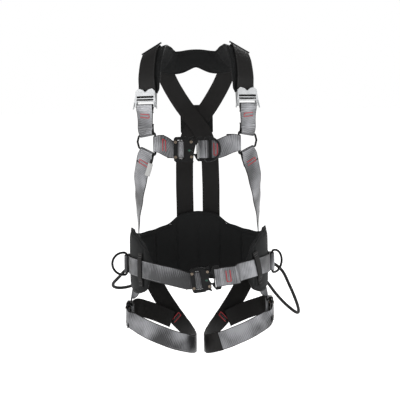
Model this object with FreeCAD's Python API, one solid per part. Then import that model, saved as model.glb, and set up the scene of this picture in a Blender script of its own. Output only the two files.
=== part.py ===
"""Full body safety harness with a work positioning belt, one STEP file per piece, millimetres.

+X is the wearer's left, -Y the wearer's front, +Z up. The origin is the point between the shoulder tops
that carries the harness.
"""
import FreeCAD, Part

import os
from math import cos, pi, radians, sin, sqrt, tan

V = FreeCAD.Vector

# webbing
WEB_W = 45.0
WEB_T = 1.8
WEB_GAP = 0.3
FOLD_GAP = 0.2
FOLD_SLACK = 0.5
FOLD_CUT = 1.3
TAIL = 30.0
HOUSING_TAIL = 10.0

# quick connect buckle, in its own frame: x towards the tongue, y across, z outward
PLATE_T = 2.0
PLATE_GAP = 9.0
PLATE_LEFT = -23.0
PLATE_RIGHT = 24.0
PLATE_HALF_H = 26.5
PLATE_CORNER = 6.0
TAPER_LEFT = 8.0
TAPER_MIDDLE = 15.0
TAPER_DROP = 3.5
TAPER_END_DROP = 4.5
CRESCENT_R = 15.5
CRESCENT_AHEAD = 12.0
WINDOW_LEFT = -13.4
WINDOW_RIGHT = 2.0
SIDE_CLEAR = 0.3
RIVET_R = 2.2
RIVET_HEAD_R = 3.5
RIVET_HEAD_H = 1.3
RIVET_LEFT_X = -18.3
RIVET_RIGHT_X = 19.2
RIVET_Y = 17.8
RIVET_FIT = 0.05
BAR_R = 2.3
BAR_COLLAR = 1.2
BAR_LIFT = 0.6
LEVER_TOP = 30.0
LEVER_INNER = 26.0
LEVER_INNER_RIGHT = 24.2
LEVER_HUB_R = 4.2
LEVER_FIT = 0.1
LEVER_RIGHT = 24.5
LEVER_STEP_X = 3.0
GRIP_LEFT = 12.0
GRIP_RIGHT = 17.0
GRIP_DEPTH = 2.6
HUB_TOP = -0.2
POCKET_WALL = 2.5
PRONG_CLEAR = 0.4
POST_LEFT = 9.0
POST_L = 1.5
POST_INNER = 7.2
ARM_LEFT = 6.0
ARM_RIGHT = 14.0
SPRING_WIRE = 0.8
SPRING_TURNS = 4
SPRING_PITCH = 0.96 * SPRING_WIRE
SPRING_LEG = 7.0
TONGUE_T = 3.0
TONGUE_LIFT = 1.0
TONGUE_HALF_H = 29.0
TONGUE_TIP = 5.0
TONGUE_END = 47.7
PRONG_OUTER = 14.6
PRONG_INNER = 10.9
CATCH_DEPTH = 1.9
CATCH_L = 1.1
CATCH_GAP = 0.8
MOON_RIGHT = 31.2
CROSS_W = 3.0
EYE_SLOT = 3.6
EYE_BAR_W = 9.0

# places of the four buckles
CHEST_C = (-33, -131, -239)
WAIST_C = (3, -133, -553)
WAIST_TILT = 7.0
LEG_X = 178.0
LEG_Y = -5.0
LEG_Z = {1: -647.0, -1: -655.0}

# rings and torso links; a link's corners are given across and up from its centre
D_ROD = 6.0
D_HALF_H = 28.0
D_NECK = 8.0
D_CORNER = 6.0
D_LUG_GAP = 0.15
SIDE_D_SWING = {1: 45.0, -1: 90.0}
CHEST_D_X = 9.8
CHEST_D_SWING = 12.0
LINK_ROD = 5.0
LINK_BEND = 4.0
LINK_FOLD_W = 38.0
LINK_FOLD_L = 12.0
LINK_C = (121.0, -101.0, -226.0)
LINK_CORNERS = [(-24, 27), (22, 19), (26, 5), (22, -9), (-24, -28)]

# keeper on the chest strap
KEEPER_X = 22.0
KEEPER_L = 7.0
KEEPER_WALL = 1.0
TACK_END = 40.0

# shoulder adjusters and sliders
ADJ_W = 54.0
ADJ_T = 2.5
ADJ_BAR_R = 2.5
ADJ_C = (122.0, -113.0, -118.0)
ADJ_TILT = 8.0
ADJ_BOTTOM_BAR = 17.5
ADJ_HIDDEN_BAR = -2.0
ADJ_HIDDEN_GAP = 0.6
ADJ_CHEEK_T = 2.0
ADJ_CHEEK_TOP = -14.0
ADJ_BOTTOM = 20.0
ADJ_SLOTS = ((-6.8, -2.3), (0.3, 4.8))
ADJ_LAST_SLOT = 7.4
SLIDER_L = 57.0
SLIDER_W = 26.0
SLIDER_T = 3.0

# dorsal plate
DORSAL_Y = 130.5
DORSAL_T = 4.0
DORSAL_BAR_Z = -172.0
DORSAL_BAR_LIFT = 5.5
LUG_R = 5.5
LUG_L = 9.0
LUG_IN = 12.0

# pads; the yoke's neck is given as place, height of its middle and width
YOKE_T = 11.0
YOKE_SLACK = 1.2
YOKE_ASIDE = 4.0
YOKE_FRONT = [(116, -103.5, -119), (119, -102.5, -94)]
YOKE_WIDTHS = [44, 58, 62, 66, 68, 72, 84]
YOKE_NECK = [(52, 80, -30, 60), (0, 85, -18, 48)]
WAIST_PAD_T = 14.0
PAD_GAP = 0.6
# the waist pad's top and bottom edges at places round the trunk
PAD_EDGES = [
    (114, -98, -505, -558), (133, -85, -472, -590), (158, -55, -446, -600), (173, -20, -434, -598),
    (175.5, 15, -440, -590), (173, 50, -454, -586), (157, 84, -462, -588), (128, 108, -456, -590),
    (88, 125, -444, -592), (42, 134, -414, -592), (0, 136, -408, -592),
]

# loops over the belt on the waist pad: share of the way along at top and bottom, and width
BELT_LOOPS = {1: (0.15, 0.75, 18.0), -1: (0.42, 0.42, 16.0)}
BELT_LOOP_T = 1.6
BELT_LOOP_ABOVE = 16.0
BELT_LOOP_BELOW = 22.0

# bare label
TAB_W = 7.0
TAB_L = 9.0
TAB_T = 1.2
TAG_W = 14.0
TAG_L = 32.0
TAG_T = 0.8
TAG_GAP = 0.2
TAG_ASIDE = 17.0

# strap routes for the wearer's left, set by hand
BELT_SIDE = [(58, -121.5, -548), (98, -109, -540), (133, -85, -534), (158, -55, -531), (173, -20, -530)]
BELT_HIP = [(175.5, 15, -530), (173, 50, -530), (157, 84, -530)]
BELT_BACK = [(128, 108, -530), (88, 125, -530), (42, 134, -530), (0, 136, -530)]
SHOULDER_FRONT = [(119, -97, -66), (116, -72, -28), (111, -38, -4), (107, 0, 3)]
SHOULDER_BACK = [(99, 42, -9), (84, 80, -42), (62, 109, -90), (36, 124.5, -134), (12, 126, -168)]
BACK_LOWER = [(-12, 126, -202), (-30, 125.5, -255), (-34, 121, -330), (-34, 136, -402), (-34, 136, -500)]
CROSSING_Z = -300
CROSSING_GAP = 0.6
SIDE_ROUTE = [(138, -78, -305), (144, -54, -355), (148.3, -32, -405), (148.8, -12, -450)]
SIDE_LOW = [
    (151.7, 6, -500), (151.8, 14, -550), (152.2, 22, -589), (156, 28, -598), (163, 34, -604.5),
    (172.4, 41, -615), (172.4, 43, -670),
]
LEG_FRONT = [
    (168, -86, -660), (148, -101, -668), (120, -110, -680), (92, -111, -692), (62, -104, -705), (36, -88, -715),
]
CROTCH = [(19, -60, -724), (11, -25, -730), (11, 12, -731), (20, 46, -724), (38, 74, -708)]
SEAT = [(60, 96, -686), (84, 112, -656), (106, 122, -622), (122, 132, -590), (127, 128.5, -555)]
THIGH = [(160, 90, -656), (140, 101, -664), (116, 105, -673), (92, 103, -683), (72, 97, -691)]
THIGH_LEAD = 68.0

# gear loops, by side
GEAR_CORD = 8.0
GEAR_CORD_BEND = 0.45
GEAR_ROUTES = {
    1: [
        (171, 59.1, -538), (184, 65.2, -541), (201.5, 70.1, -550.5), (217.1, 69.2, -567.6),
        (227.1, 60.9, -591.4), (237.7, 48.2, -615.3), (248, 49.1, -642.3), (255, 64.8, -665.7),
        (255.2, 92.6, -679.9), (245.8, 123.9, -678.8), (223.2, 148.5, -661.8), (198.5, 152.3, -633.5),
        (180.2, 135.9, -605.3), (167.7, 117.1, -590.7), (157.8, 102.2, -584), (149.3, 91.9, -581),
    ],
    -1: [
        (-164.6, 72.7, -545), (-176.4, 78.2, -549), (-191.6, 81.2, -557.9), (-209.2, 80.7, -577.7),
        (-224.7, 95.6, -593.2), (-225.4, 118.2, -606.2), (-211.6, 137.3, -613.2), (-188.8, 146.2, -612.2),
        (-166.7, 142, -603.6), (-153.5, 127, -590.5), (-146.7, 109.4, -584.2), (-138.3, 99.3, -581.4),
    ],
}

# trunk form that the webbing follows
TRUNK_HALF_W = 166.0
TRUNK_HALF_D = 115.0
SHOULDER_ROUND = 132.0
SHOULDER_BASE = -110.0
THIGH_X = 92.0
THIGH_Y = 5.0


def unit(v):
    return V(v).normalize()


def outward(p):
    """Direction out of the trunk at a point of a strap."""
    up = max(0.0, p.z - SHOULDER_BASE) / SHOULDER_ROUND**2
    return unit(V(p.x / TRUNK_HALF_W**2, p.y / TRUNK_HALF_D**2, up))


def outward_from_thigh(side):
    """Direction out of one thigh; side is +1 for the wearer's left."""
    return lambda p: unit(V(p.x - side * THIGH_X, p.y - THIGH_Y, 0))


class Frame:
    """A local frame: origin, x along, z outward, y across."""

    def __init__(self, origin, along, out):
        self.origin = V(origin)
        self.x = unit(along)
        self.y = unit(V(out).cross(self.x))
        self.z = self.x.cross(self.y)

    def point(self, x, y=0.0, z=0.0):
        return self.origin + self.x * x + self.y * y + self.z * z

    def direction(self, x, y=0.0, z=0.0):
        return self.x * x + self.y * y + self.z * z

    def place(self, shape):
        matrix = FreeCAD.Matrix(
            self.x.x, self.y.x, self.z.x, self.origin.x,
            self.x.y, self.y.y, self.z.y, self.origin.y,
            self.x.z, self.y.z, self.z.z, self.origin.z,
            0, 0, 0, 1,
        )
        placed = shape.copy()
        placed.transformShape(matrix, True)
        return placed


class Station:
    """One section of a ribbon: path point, outward normal, width, thickness and rise above the path."""

    def __init__(self, p, n, width=WEB_W, thick=WEB_T, rise=0.0):
        self.p = V(p)
        self.n = V(n)
        self.width = width
        self.thick = thick
        self.rise = rise


def across_body(station):
    """The same section on the other side of the body."""
    p, n = station.p, station.n
    return Station(V(-p.x, p.y, p.z), V(-n.x, n.y, n.z), station.width, station.thick, station.rise)


def spread(forward, aside):
    """How much a mitred section grows where the strap turns by its half angle."""
    return min(sqrt(forward**2 + aside**2) / forward, 1.42)


def inset(stations, depth):
    """Stations of a parallel strap, depth below each facet of the first one."""
    moved = []
    last = len(stations) - 1
    for i, s in enumerate(stations):
        before = unit(s.p - stations[i - 1].p) if i > 0 else unit(stations[1].p - s.p)
        after = unit(stations[i + 1].p - s.p) if i < last else before
        along = unit(before + after)
        across = unit(along.cross(s.n))
        normal = across.cross(along)
        grown = spread(before.dot(along), before.dot(normal))
        moved.append(Station(s.p - normal * (depth * grown), normal, s.width, s.thick, s.rise))
    return moved


def ribbon(stations):
    """A strap of rectangular section through its stations, mitred at each bend."""
    wires = []
    last = len(stations) - 1
    for i, s in enumerate(stations):
        before = unit(s.p - stations[i - 1].p) if i > 0 else unit(stations[1].p - s.p)
        after = unit(stations[i + 1].p - s.p) if i < last else before
        along = unit(before + after)
        across = unit(along.cross(s.n))
        normal = across.cross(along)
        forward = before.dot(along)
        centre = s.p + across * (s.rise if across.z > 0 else -s.rise)
        half_w = across * (s.width / 2 * spread(forward, before.dot(across)))
        half_t = normal * (s.thick / 2 * spread(forward, before.dot(normal)))
        low, high = centre - half_t, centre + half_t
        corners = [low - half_w, low + half_w, high + half_w, high - half_w]
        wires.append(Part.makePolygon(corners + corners[:1]))
    solid = Part.makeLoft(wires, True, True)
    if solid.Volume < 0:
        solid.reverse()
    return solid


def threaded(frame, path, width=WEB_W, narrow=None):
    """Stations along a path of (along, outward) pairs in a frame; the face turns with the path."""
    stations = []
    last = len(path) - 1
    for i, (a, n) in enumerate(path):
        a0, n0 = path[max(i - 1, 0)]
        a1, n1 = path[min(i + 1, last)]
        if 0 < i < last:
            before = unit(V(a - a0, n - n0, 0))
            after = unit(V(a1 - a, n1 - n, 0))
            going = before + after
        else:
            going = V(a1 - a0, n1 - n0, 0)
        normal = frame.direction(-going.y, 0, going.x)
        w = width if narrow is None or a > narrow[1] else narrow[0]
        stations.append(Station(frame.point(a, 0, n), unit(normal), w))
    return stations


def eye(half_l, half_t, lean=0.0, tail=TAIL):
    """Path of webbing folded round a bar: tail, fold, then out again on the front layer.

    The bar is centred on the frame's origin and measures half_l along and half_t outward from it.
    lean moves the place where the two layers meet, along the outward direction.
    """
    layer = (WEB_T + FOLD_GAP) / 2
    reach = half_l + FOLD_SLACK + WEB_T / 2
    height = half_t + FOLD_SLACK + WEB_T / 2
    is_round = half_l == half_t
    cut = 0.586 * height if is_round else FOLD_CUT
    flat = half_l - 0.414 * height if is_round else half_l + 0.5
    meet = half_l + 4 * height
    return [
        (meet + tail, lean - layer),
        (meet, lean - layer),
        (flat, -height),
        (-reach + cut, -height),
        (-reach, -height + cut),
        (-reach, height - cut),
        (-reach + cut, height),
        (flat, height),
        (meet, lean + layer),
        (meet + tail, lean + layer),
    ]


def route(points, facing, width=WEB_W, thick=WEB_T):
    """Stations at hand-set points, facing away from the body."""
    return [Station(V(*p), facing(V(*p)), width, thick) for p in points]


def mirrored(points, side):
    return [(side * x, y, z) for x, y, z in points]


def rounded_path(points, radii, closed=False):
    """Straight runs through the points, joined by tangent arcs of the given radii."""
    count = len(points)
    pts = [V(*p) for p in points]
    edges = []
    bends = range(count) if closed else range(1, count - 1)
    cut = {}
    for i in bends:
        a, b, c = pts[i - 1], pts[i], pts[(i + 1) % count]
        back, on = unit(a - b), unit(c - b)
        half = (pi - back.getAngle(on)) / 2
        run = radii[i] * tan(half)
        centre = b + unit(back + on) * (radii[i] / cos(half))
        start, end = b + back * run, b + on * run
        middle = centre + unit(b - centre) * radii[i]
        cut[i] = (start, middle, end)
    for i in range(count):
        if i in cut:
            start, middle, end = cut[i]
            edges.append(Part.Arc(start, middle, end).toShape())
        if i == count - 1 and not closed:
            break
        a = cut[i][2] if i in cut else pts[i]
        j = (i + 1) % count
        b = cut[j][0] if j in cut else pts[j]
        if a.distanceToPoint(b) > 1e-6:
            edges.append(Part.LineSegment(a, b).toShape())
    return edges


def rod(edges, radius):
    """A round rod along joined edges."""
    first = edges[0]
    start = first.valueAt(first.FirstParameter)
    going = first.tangentAt(first.FirstParameter)
    circle = Part.Wire([Part.Circle(start, going, radius).toShape()])
    return Part.Wire(edges).makePipeShell([circle], True, False)


def ring(points, radii, radius):
    """A closed ring of round rod, swept in two halves and joined."""
    edges = rounded_path(points, radii, closed=True)
    half = len(edges) // 2
    return rod(edges[:half], radius).fuse(rod(edges[half:], radius)).removeSplitter()


def plate(outline, bottom, top):
    """A flat plate from a closed outline of (x, y) points."""
    pts = [V(x, y, bottom) for x, y in outline]
    face = Part.Face(Part.makePolygon(pts + pts[:1]))
    return face.extrude(V(0, 0, top - bottom))


def box(x0, x1, y0, y1, z0, z1):
    return Part.makeBox(x1 - x0, y1 - y0, z1 - z0, V(x0, y0, z0))


def pin(x, y, z0, z1, radius):
    return Part.makeCylinder(radius, z1 - z0, V(x, y, z0), V(0, 0, 1))


def flipped(shape):
    """The same shape on the other side of the y = 0 plane."""
    return shape.mirror(V(0, 0, 0), V(0, 1, 0))


def soften(shape, pick, radius):
    """Fillet the edges that pick chooses."""
    chosen = [e for e in shape.Edges if pick(e)]
    return shape.makeFillet(radius, chosen) if chosen else shape


def upright(edge):
    """True for a straight edge along z."""
    if not isinstance(edge.Curve, Part.Line):
        return False
    return abs(edge.tangentAt(edge.FirstParameter).z) > 0.999


# ---- quick connect buckle ----

LINK_NARROW = (LINK_FOLD_W, LINK_FOLD_L)
ADJ_HIDDEN_DEPTH = -(ADJ_T / 2 + ADJ_BAR_R + WEB_T + FOLD_SLACK + ADJ_HIDDEN_GAP)
DORSAL_BAR_OUT = DORSAL_T + DORSAL_BAR_LIFT
YOKE_IN = WEB_T / 2 + WEB_GAP + YOKE_T / 2 + YOKE_SLACK
HOUSING_HALF_T = PLATE_GAP / 2 + PLATE_T
INSIDE = PLATE_GAP / 2 - SIDE_CLEAR
RIVETS = [(x, s * RIVET_Y) for x in (RIVET_LEFT_X, RIVET_RIGHT_X) for s in (1, -1)]
BAR_PITCH = WINDOW_RIGHT - WINDOW_LEFT - 2 * (BAR_R + WEB_T + FOLD_SLACK + SIDE_CLEAR)
BAR_XS = [(WINDOW_LEFT + WINDOW_RIGHT) / 2 + s * BAR_PITCH / 2 for s in (-1, 1)]
WINDOW_HALF_H = WEB_W / 2 + SIDE_CLEAR
EYE_BAR_LEFT = MOON_RIGHT + CROSS_W + EYE_SLOT
EYE_BAR_X = EYE_BAR_LEFT + EYE_BAR_W / 2


def housing_plate(bottom):
    top = bottom + PLATE_T
    edge = [
        (PLATE_LEFT, PLATE_HALF_H), (TAPER_LEFT, PLATE_HALF_H), (TAPER_MIDDLE, PLATE_HALF_H - TAPER_DROP),
        (PLATE_RIGHT, PLATE_HALF_H - TAPER_END_DROP),
    ]
    outline = [(x, -y) for x, y in edge] + list(reversed(edge))
    body = plate(outline, bottom, top)
    body = soften(body, lambda e: upright(e) and e.CenterOfMass.x < PLATE_LEFT + 1, PLATE_CORNER)
    window = box(WINDOW_LEFT, WINDOW_RIGHT, -WINDOW_HALF_H, WINDOW_HALF_H, bottom - 1, top + 1)
    crescent = pin(PLATE_RIGHT + CRESCENT_AHEAD, 0, bottom - 1, top + 1, CRESCENT_R)
    body = body.cut(window).cut(crescent)
    for x, y in RIVETS:
        body = body.cut(pin(x, y, bottom - 1, top + 1, RIVET_R + RIVET_FIT))
    return body


def rivet(x, y):
    shank = pin(x, y, -HOUSING_HALF_T, HOUSING_HALF_T, RIVET_R)
    head = pin(x, y, HOUSING_HALF_T, HOUSING_HALF_T + RIVET_HEAD_H, RIVET_HEAD_R)
    head = soften(head, lambda e: e.CenterOfMass.z > HOUSING_HALF_T + 0.5 and e.Length > 5, 0.8)
    return shank.fuse(head).removeSplitter()


def web_bar(x):
    core = Part.makeCylinder(BAR_R, 2 * WINDOW_HALF_H + 2, V(x, -WINDOW_HALF_H - 1, BAR_LIFT), V(0, 1, 0))
    inner = WINDOW_HALF_H + 0.1
    half = min(BAR_R, BAR_PITCH / 2 - 0.05)
    for s in (1, -1):
        y0, y1 = sorted((s * inner, s * (inner + BAR_COLLAR)))
        core = core.fuse(box(x - half, x + half, y0, y1, -PLATE_GAP / 2, PLATE_GAP / 2))
    return core


def lever():
    """Release lever on the +y side, hung on its rivet, with the catch post on its inner arm."""
    outline = [
        (RIVET_LEFT_X - LEVER_HUB_R, RIVET_Y), (RIVET_LEFT_X + LEVER_HUB_R, RIVET_Y),
        (RIVET_LEFT_X + LEVER_HUB_R, LEVER_INNER), (LEVER_STEP_X, LEVER_INNER),
        (LEVER_STEP_X, LEVER_INNER_RIGHT),
        (LEVER_RIGHT - 2.0, LEVER_INNER_RIGHT), (LEVER_RIGHT, LEVER_TOP + 1.2),
        (LEVER_RIGHT - GRIP_DEPTH, LEVER_TOP), (GRIP_RIGHT, LEVER_TOP - GRIP_DEPTH),
        (GRIP_LEFT, LEVER_TOP - GRIP_DEPTH), (GRIP_LEFT - 5.0, LEVER_TOP),
        (RIVET_LEFT_X, LEVER_TOP), (RIVET_LEFT_X - LEVER_HUB_R, LEVER_TOP - 4.0),
    ]
    body = plate(outline, -INSIDE, INSIDE)
    body = body.fuse(pin(RIVET_LEFT_X, RIVET_Y, -INSIDE, HUB_TOP, LEVER_HUB_R))
    wall = LEVER_INNER - POCKET_WALL
    pocket = box(-30, WINDOW_LEFT - 0.2, RIVET_Y - 8, wall, HUB_TOP, INSIDE + 1)
    body = body.cut(pocket)
    arm_top = TONGUE_LIFT - TONGUE_T / 2 - PRONG_CLEAR
    body = body.fuse(box(ARM_LEFT, ARM_RIGHT, POST_INNER, LEVER_INNER_RIGHT + 1, -INSIDE, arm_top))
    post_top = TONGUE_LIFT + TONGUE_T / 2 + PRONG_CLEAR
    post_outer = PRONG_INNER - 0.2
    body = body.fuse(box(POST_LEFT, POST_LEFT + POST_L, POST_INNER, post_outer, -INSIDE, post_top))
    body = body.cut(pin(RIVET_LEFT_X, RIVET_Y, -10, 10, RIVET_R + LEVER_FIT))
    return body.removeSplitter()


def spring():
    """Close wound torsion spring round the lever's rivet, with its two legs."""
    inner = RIVET_R + 0.25
    axis = inner + SPRING_WIRE / 2
    coil = None
    low = -HUB_TOP
    for k in range(SPRING_TURNS):
        z = low + SPRING_WIRE / 2 + k * SPRING_PITCH
        turn = Part.makeTorus(axis, SPRING_WIRE / 2, V(RIVET_LEFT_X, RIVET_Y, z))
        coil = turn if coil is None else coil.fuse(turn)
    top = low + SPRING_WIRE / 2 + (SPRING_TURNS - 1) * SPRING_PITCH
    bottom = low + SPRING_WIRE / 2
    to_lever = LEVER_INNER - POCKET_WALL - RIVET_Y - 0.5
    lever_leg = Part.makeCylinder(SPRING_WIRE / 2, to_lever, V(RIVET_LEFT_X + axis, RIVET_Y, top), V(0, 1, 0))
    foot = V(RIVET_LEFT_X - axis, RIVET_Y, bottom)
    plate_leg = Part.makeCylinder(SPRING_WIRE / 2, SPRING_LEG, foot, V(0, -1, 0))
    return coil.fuse(lever_leg).fuse(plate_leg)


def tongue():
    """Forked tongue: two prongs with catches, a half-moon gap and an eye for the webbing."""
    low = TONGUE_LIFT - TONGUE_T / 2
    high = low + TONGUE_T
    shoulder = PLATE_RIGHT + 1.5
    outline = [
        (TONGUE_TIP, -PRONG_OUTER + 1.2), (TONGUE_TIP + 2, -PRONG_OUTER), (shoulder, -PRONG_OUTER),
        (shoulder + 5, -TONGUE_HALF_H + 5), (shoulder + 9, -TONGUE_HALF_H), (TONGUE_END - 3, -TONGUE_HALF_H),
        (TONGUE_END, -TONGUE_HALF_H + 3), (TONGUE_END, TONGUE_HALF_H - 3), (TONGUE_END - 3, TONGUE_HALF_H),
        (shoulder + 9, TONGUE_HALF_H), (shoulder + 5, TONGUE_HALF_H - 5), (shoulder, PRONG_OUTER),
        (TONGUE_TIP + 2, PRONG_OUTER), (TONGUE_TIP, PRONG_OUTER - 1.2),
    ]
    body = plate(outline, low, high)
    body = body.cut(box(TONGUE_TIP - 1, MOON_RIGHT, -PRONG_INNER, PRONG_INNER, low - 1, high + 1))
    eye_slot = (MOON_RIGHT + CROSS_W, EYE_BAR_LEFT)
    body = body.cut(box(*eye_slot, -WINDOW_HALF_H, WINDOW_HALF_H, low - 1, high + 1))
    end_gap = EYE_BAR_LEFT + EYE_BAR_W
    body = body.cut(box(end_gap, TONGUE_END + 1, -WINDOW_HALF_H, WINDOW_HALF_H, low - 1, high + 1))
    right = POST_LEFT - CATCH_GAP
    for s in (1, -1):
        inner = s * (PRONG_INNER - CATCH_DEPTH)
        outer = s * (PRONG_INNER + 0.5)
        left = right - CATCH_L
        catch = plate([(right, inner), (right, outer), (left, outer), (left, inner)], low, high)
        body = body.fuse(catch)
    return body.removeSplitter()


def buckle_pieces():
    """The pieces of one buckle in its own frame, by name."""
    return {
        "base_plate": housing_plate(-HOUSING_HALF_T),
        "cover_plate": housing_plate(PLATE_GAP / 2),
        "lever_a": lever(),
        "lever_b": flipped(lever()),
        "tongue": tongue(),
        "rivets": [rivet(x, y) for x, y in RIVETS],
        "springs": [spring(), flipped(spring())],
        "bars": [web_bar(x) for x in BAR_XS],
    }


def housing_thread(tail=TAIL):
    """Path through the housing: in under the base plate, over both bars, out underneath as the tail."""
    first = -HOUSING_HALF_T - WEB_GAP - WEB_T / 2
    second = first - WEB_T - FOLD_GAP
    off_bar = BAR_R + FOLD_SLACK + WEB_T / 2
    left = BAR_XS[0] - off_bar
    right = BAR_XS[1] + off_bar
    crown = BAR_LIFT + off_bar
    dip = 1.6
    return [
        (PLATE_LEFT - 6, first), (left - 1.0, first), (left, first + 1.0), (left, crown - 1.6),
        (left + 1.6, crown), (BAR_XS[0] + 0.8, crown), (sum(BAR_XS) / 2, crown - dip), (BAR_XS[1] - 0.8, crown),
        (right - 1.6, crown), (right, crown - 1.6), (right, second + 1.0), (right - 1.0, second),
        (PLATE_LEFT - 6, second), (PLATE_LEFT - 6 - tail, second),
    ]


CHEST = Frame(CHEST_C, (1, 0, 0), (0, -1, 0))
WAIST = Frame(WAIST_C, (cos(radians(WAIST_TILT)), 0, sin(radians(WAIST_TILT))), (0, -1, 0))
LEGS = {s: Frame((s * LEG_X, LEG_Y, LEG_Z[s]), (0, -1, 0), (s, 0, 0)) for s in (1, -1)}
BUCKLES = {"chest": CHEST, "waist": WAIST, "leg_left": LEGS[1], "leg_right": LEGS[-1]}
SIDE_NAMES = {1: "left", -1: "right"}

# ---- torso links ----

def link_frame(side):
    """Torso link frame: x horizontally away from the chest buckle, y up, z outward."""
    centre = V(side * LINK_C[0], LINK_C[1], LINK_C[2])
    out = outward(centre)
    return Frame(centre, V(0, 0, 1).cross(out) * side, out)


def link_point(side, u, v):
    f = link_frame(side)
    return f.origin + f.x * u + V(0, 0, 1) * v


def torso_link(side):
    pts = [tuple(link_point(side, u, v)) for u, v in LINK_CORNERS]
    return ring(pts, [LINK_BEND] * len(pts), LINK_ROD / 2)


def link_bar_frame(side, first, second):
    """Frame on one straight side of the link, x pointing out of the ring."""
    a = link_point(side, *LINK_CORNERS[first])
    b = link_point(side, *LINK_CORNERS[second])
    middle = (a + b) / 2
    out = link_frame(side).z
    away = unit(b - a).cross(out)
    if away.dot(middle - link_point(side, 0, 0)) < 0:
        away = away * -1
    return Frame(middle, away, out)


def d_ring():
    """D-ring in its own frame: straight bar along y through the origin, bow towards +x."""
    bow = D_NECK + D_HALF_H
    corner = D_CORNER
    upper = [V(0, 0, 0), V(0, D_HALF_H - corner, 0)]
    edges = [Part.LineSegment(*upper).toShape()]
    bend = corner * (1 - cos(radians(45)))
    edges.append(Part.Arc(upper[1], V(bend, D_HALF_H - bend, 0), V(corner, D_HALF_H, 0)).toShape())
    edges.append(Part.LineSegment(V(corner, D_HALF_H, 0), V(D_NECK, D_HALF_H, 0)).toShape())
    slant = D_HALF_H * cos(radians(45))
    edges.append(Part.Arc(V(D_NECK, D_HALF_H, 0), V(D_NECK + slant, slant, 0), V(bow, 0, 0)).toShape())
    half = rod(edges, D_ROD / 2)
    return half.fuse(flipped(half)).removeSplitter()


def swung(shape, frame, angle):
    """Swing a shape about the frame's own y axis, then place it; positive lifts +x outward."""
    turned = shape.copy()
    turned.rotate(V(0, 0, 0), V(0, 1, 0), -angle)
    return frame.place(turned)


# ---- belt, pads and strap routes ----

BELT_LAP = WEB_T + WEB_GAP

D_SIDE_OUT = WEB_T / 2 + WEB_GAP + D_ROD / 2 + FOLD_SLACK + WEB_T


def side_ring_frame(side):
    """Frame of a belt D-ring's bar: x to the rear along the belt, z outward."""
    lap = BELT_LAP if side > 0 else 0.0
    return Frame((side * (BELT_HIP[0][0] + D_SIDE_OUT + lap), 4.0, -530), (0, 1, 0), (side, 0, 0))


def waist_belt():
    """From the housing round the wearer's right side and the back to the left hip."""
    right = mirrored(BELT_SIDE + BELT_HIP + BELT_BACK, -1)
    left = list(reversed(BELT_HIP + BELT_BACK[:-1]))
    thread = threaded(WAIST, housing_thread(tail=HOUSING_TAIL))
    return ribbon(list(reversed(route(right + left, outward))) + thread)


def tongue_frame(buckle):
    return Frame(buckle.point(EYE_BAR_X, 0, TONGUE_LIFT), buckle.x, buckle.z)


def waist_belt_tongue_side():
    thread = threaded(tongue_frame(WAIST), eye(EYE_BAR_W / 2, TONGUE_T / 2, lean=-4.0))
    hip = [(x + BELT_LAP, y, z) for x, y, z in BELT_HIP[:2]]
    side = [(x + (BELT_LAP if i == len(BELT_SIDE) - 1 else 0), y, z) for i, (x, y, z) in enumerate(BELT_SIDE)]
    return ribbon(thread + route(side[1:] + hip, outward))


def chest_strap_left():
    """Tongue side of the chest strap, on the wearer's left: it carries the chest D-ring in its fold."""
    f = tongue_frame(CHEST)
    near = EYE_BAR_W / 2 + FOLD_SLACK + WEB_T / 2
    height = TONGUE_T / 2 + FOLD_SLACK + WEB_T / 2
    back = -height
    over = back + D_ROD + 2 * FOLD_SLACK + WEB_T
    top_layer = back + WEB_T + FOLD_GAP
    path = [
        (TACK_END, back), (-near + FOLD_CUT, back), (-near, back + FOLD_CUT), (-near, height - FOLD_CUT),
        (-near + FOLD_CUT, height), (near - 1.0, height), (CHEST_D_X - 2.0, over), (CHEST_D_X + 2.0, over),
        (KEEPER_X - 4, top_layer + 0.3), (KEEPER_X + 6, top_layer), (TACK_END, top_layer),
    ]
    end = threaded(link_bar_frame(1, 4, 0), eye(LINK_ROD / 2, LINK_ROD / 2, tail=14.0), narrow=LINK_NARROW)
    return ribbon(threaded(f, path) + faced_back(end))


def faced_back(stations):
    """The same stations walked the other way; a ribbon keeps its outer face."""
    return list(reversed(stations))


def chest_ring_frame():
    height = TONGUE_T / 2 + FOLD_SLACK + WEB_T / 2
    lift = -height + WEB_T / 2 + FOLD_SLACK + D_ROD / 2
    f = tongue_frame(CHEST)
    return Frame(f.point(CHEST_D_X, 0, lift), f.x, f.z)


def chest_strap_right():
    """Housing side of the chest strap, on the wearer's right."""
    end = threaded(link_bar_frame(-1, 4, 0), eye(LINK_ROD / 2, LINK_ROD / 2, tail=6.0), narrow=LINK_NARROW)
    return ribbon(end + threaded(CHEST, housing_thread(tail=HOUSING_TAIL)))


def adjuster_frame(side):
    """Adjuster frame: x down along the strap, y across, z outward."""
    centre = V(side * ADJ_C[0], ADJ_C[1], ADJ_C[2])
    out = unit(outward(centre) + V(0, 0, 0.05))
    down = V(side * sin(radians(ADJ_TILT)) * 0.3, -0.12, -1)
    return Frame(centre, down, out)


def front_strap(side):
    """Grey strap from the adjuster's bottom bar to the torso link."""
    f = adjuster_frame(side)
    top = threaded(Frame(f.point(ADJ_BOTTOM_BAR), f.x, f.z), eye(ADJ_BAR_R, ADJ_T / 2, tail=16.0))
    low = threaded(link_bar_frame(side, 0, 1), eye(LINK_ROD / 2, LINK_ROD / 2, tail=14.0), narrow=LINK_NARROW)
    return ribbon(top + faced_back(low))


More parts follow.
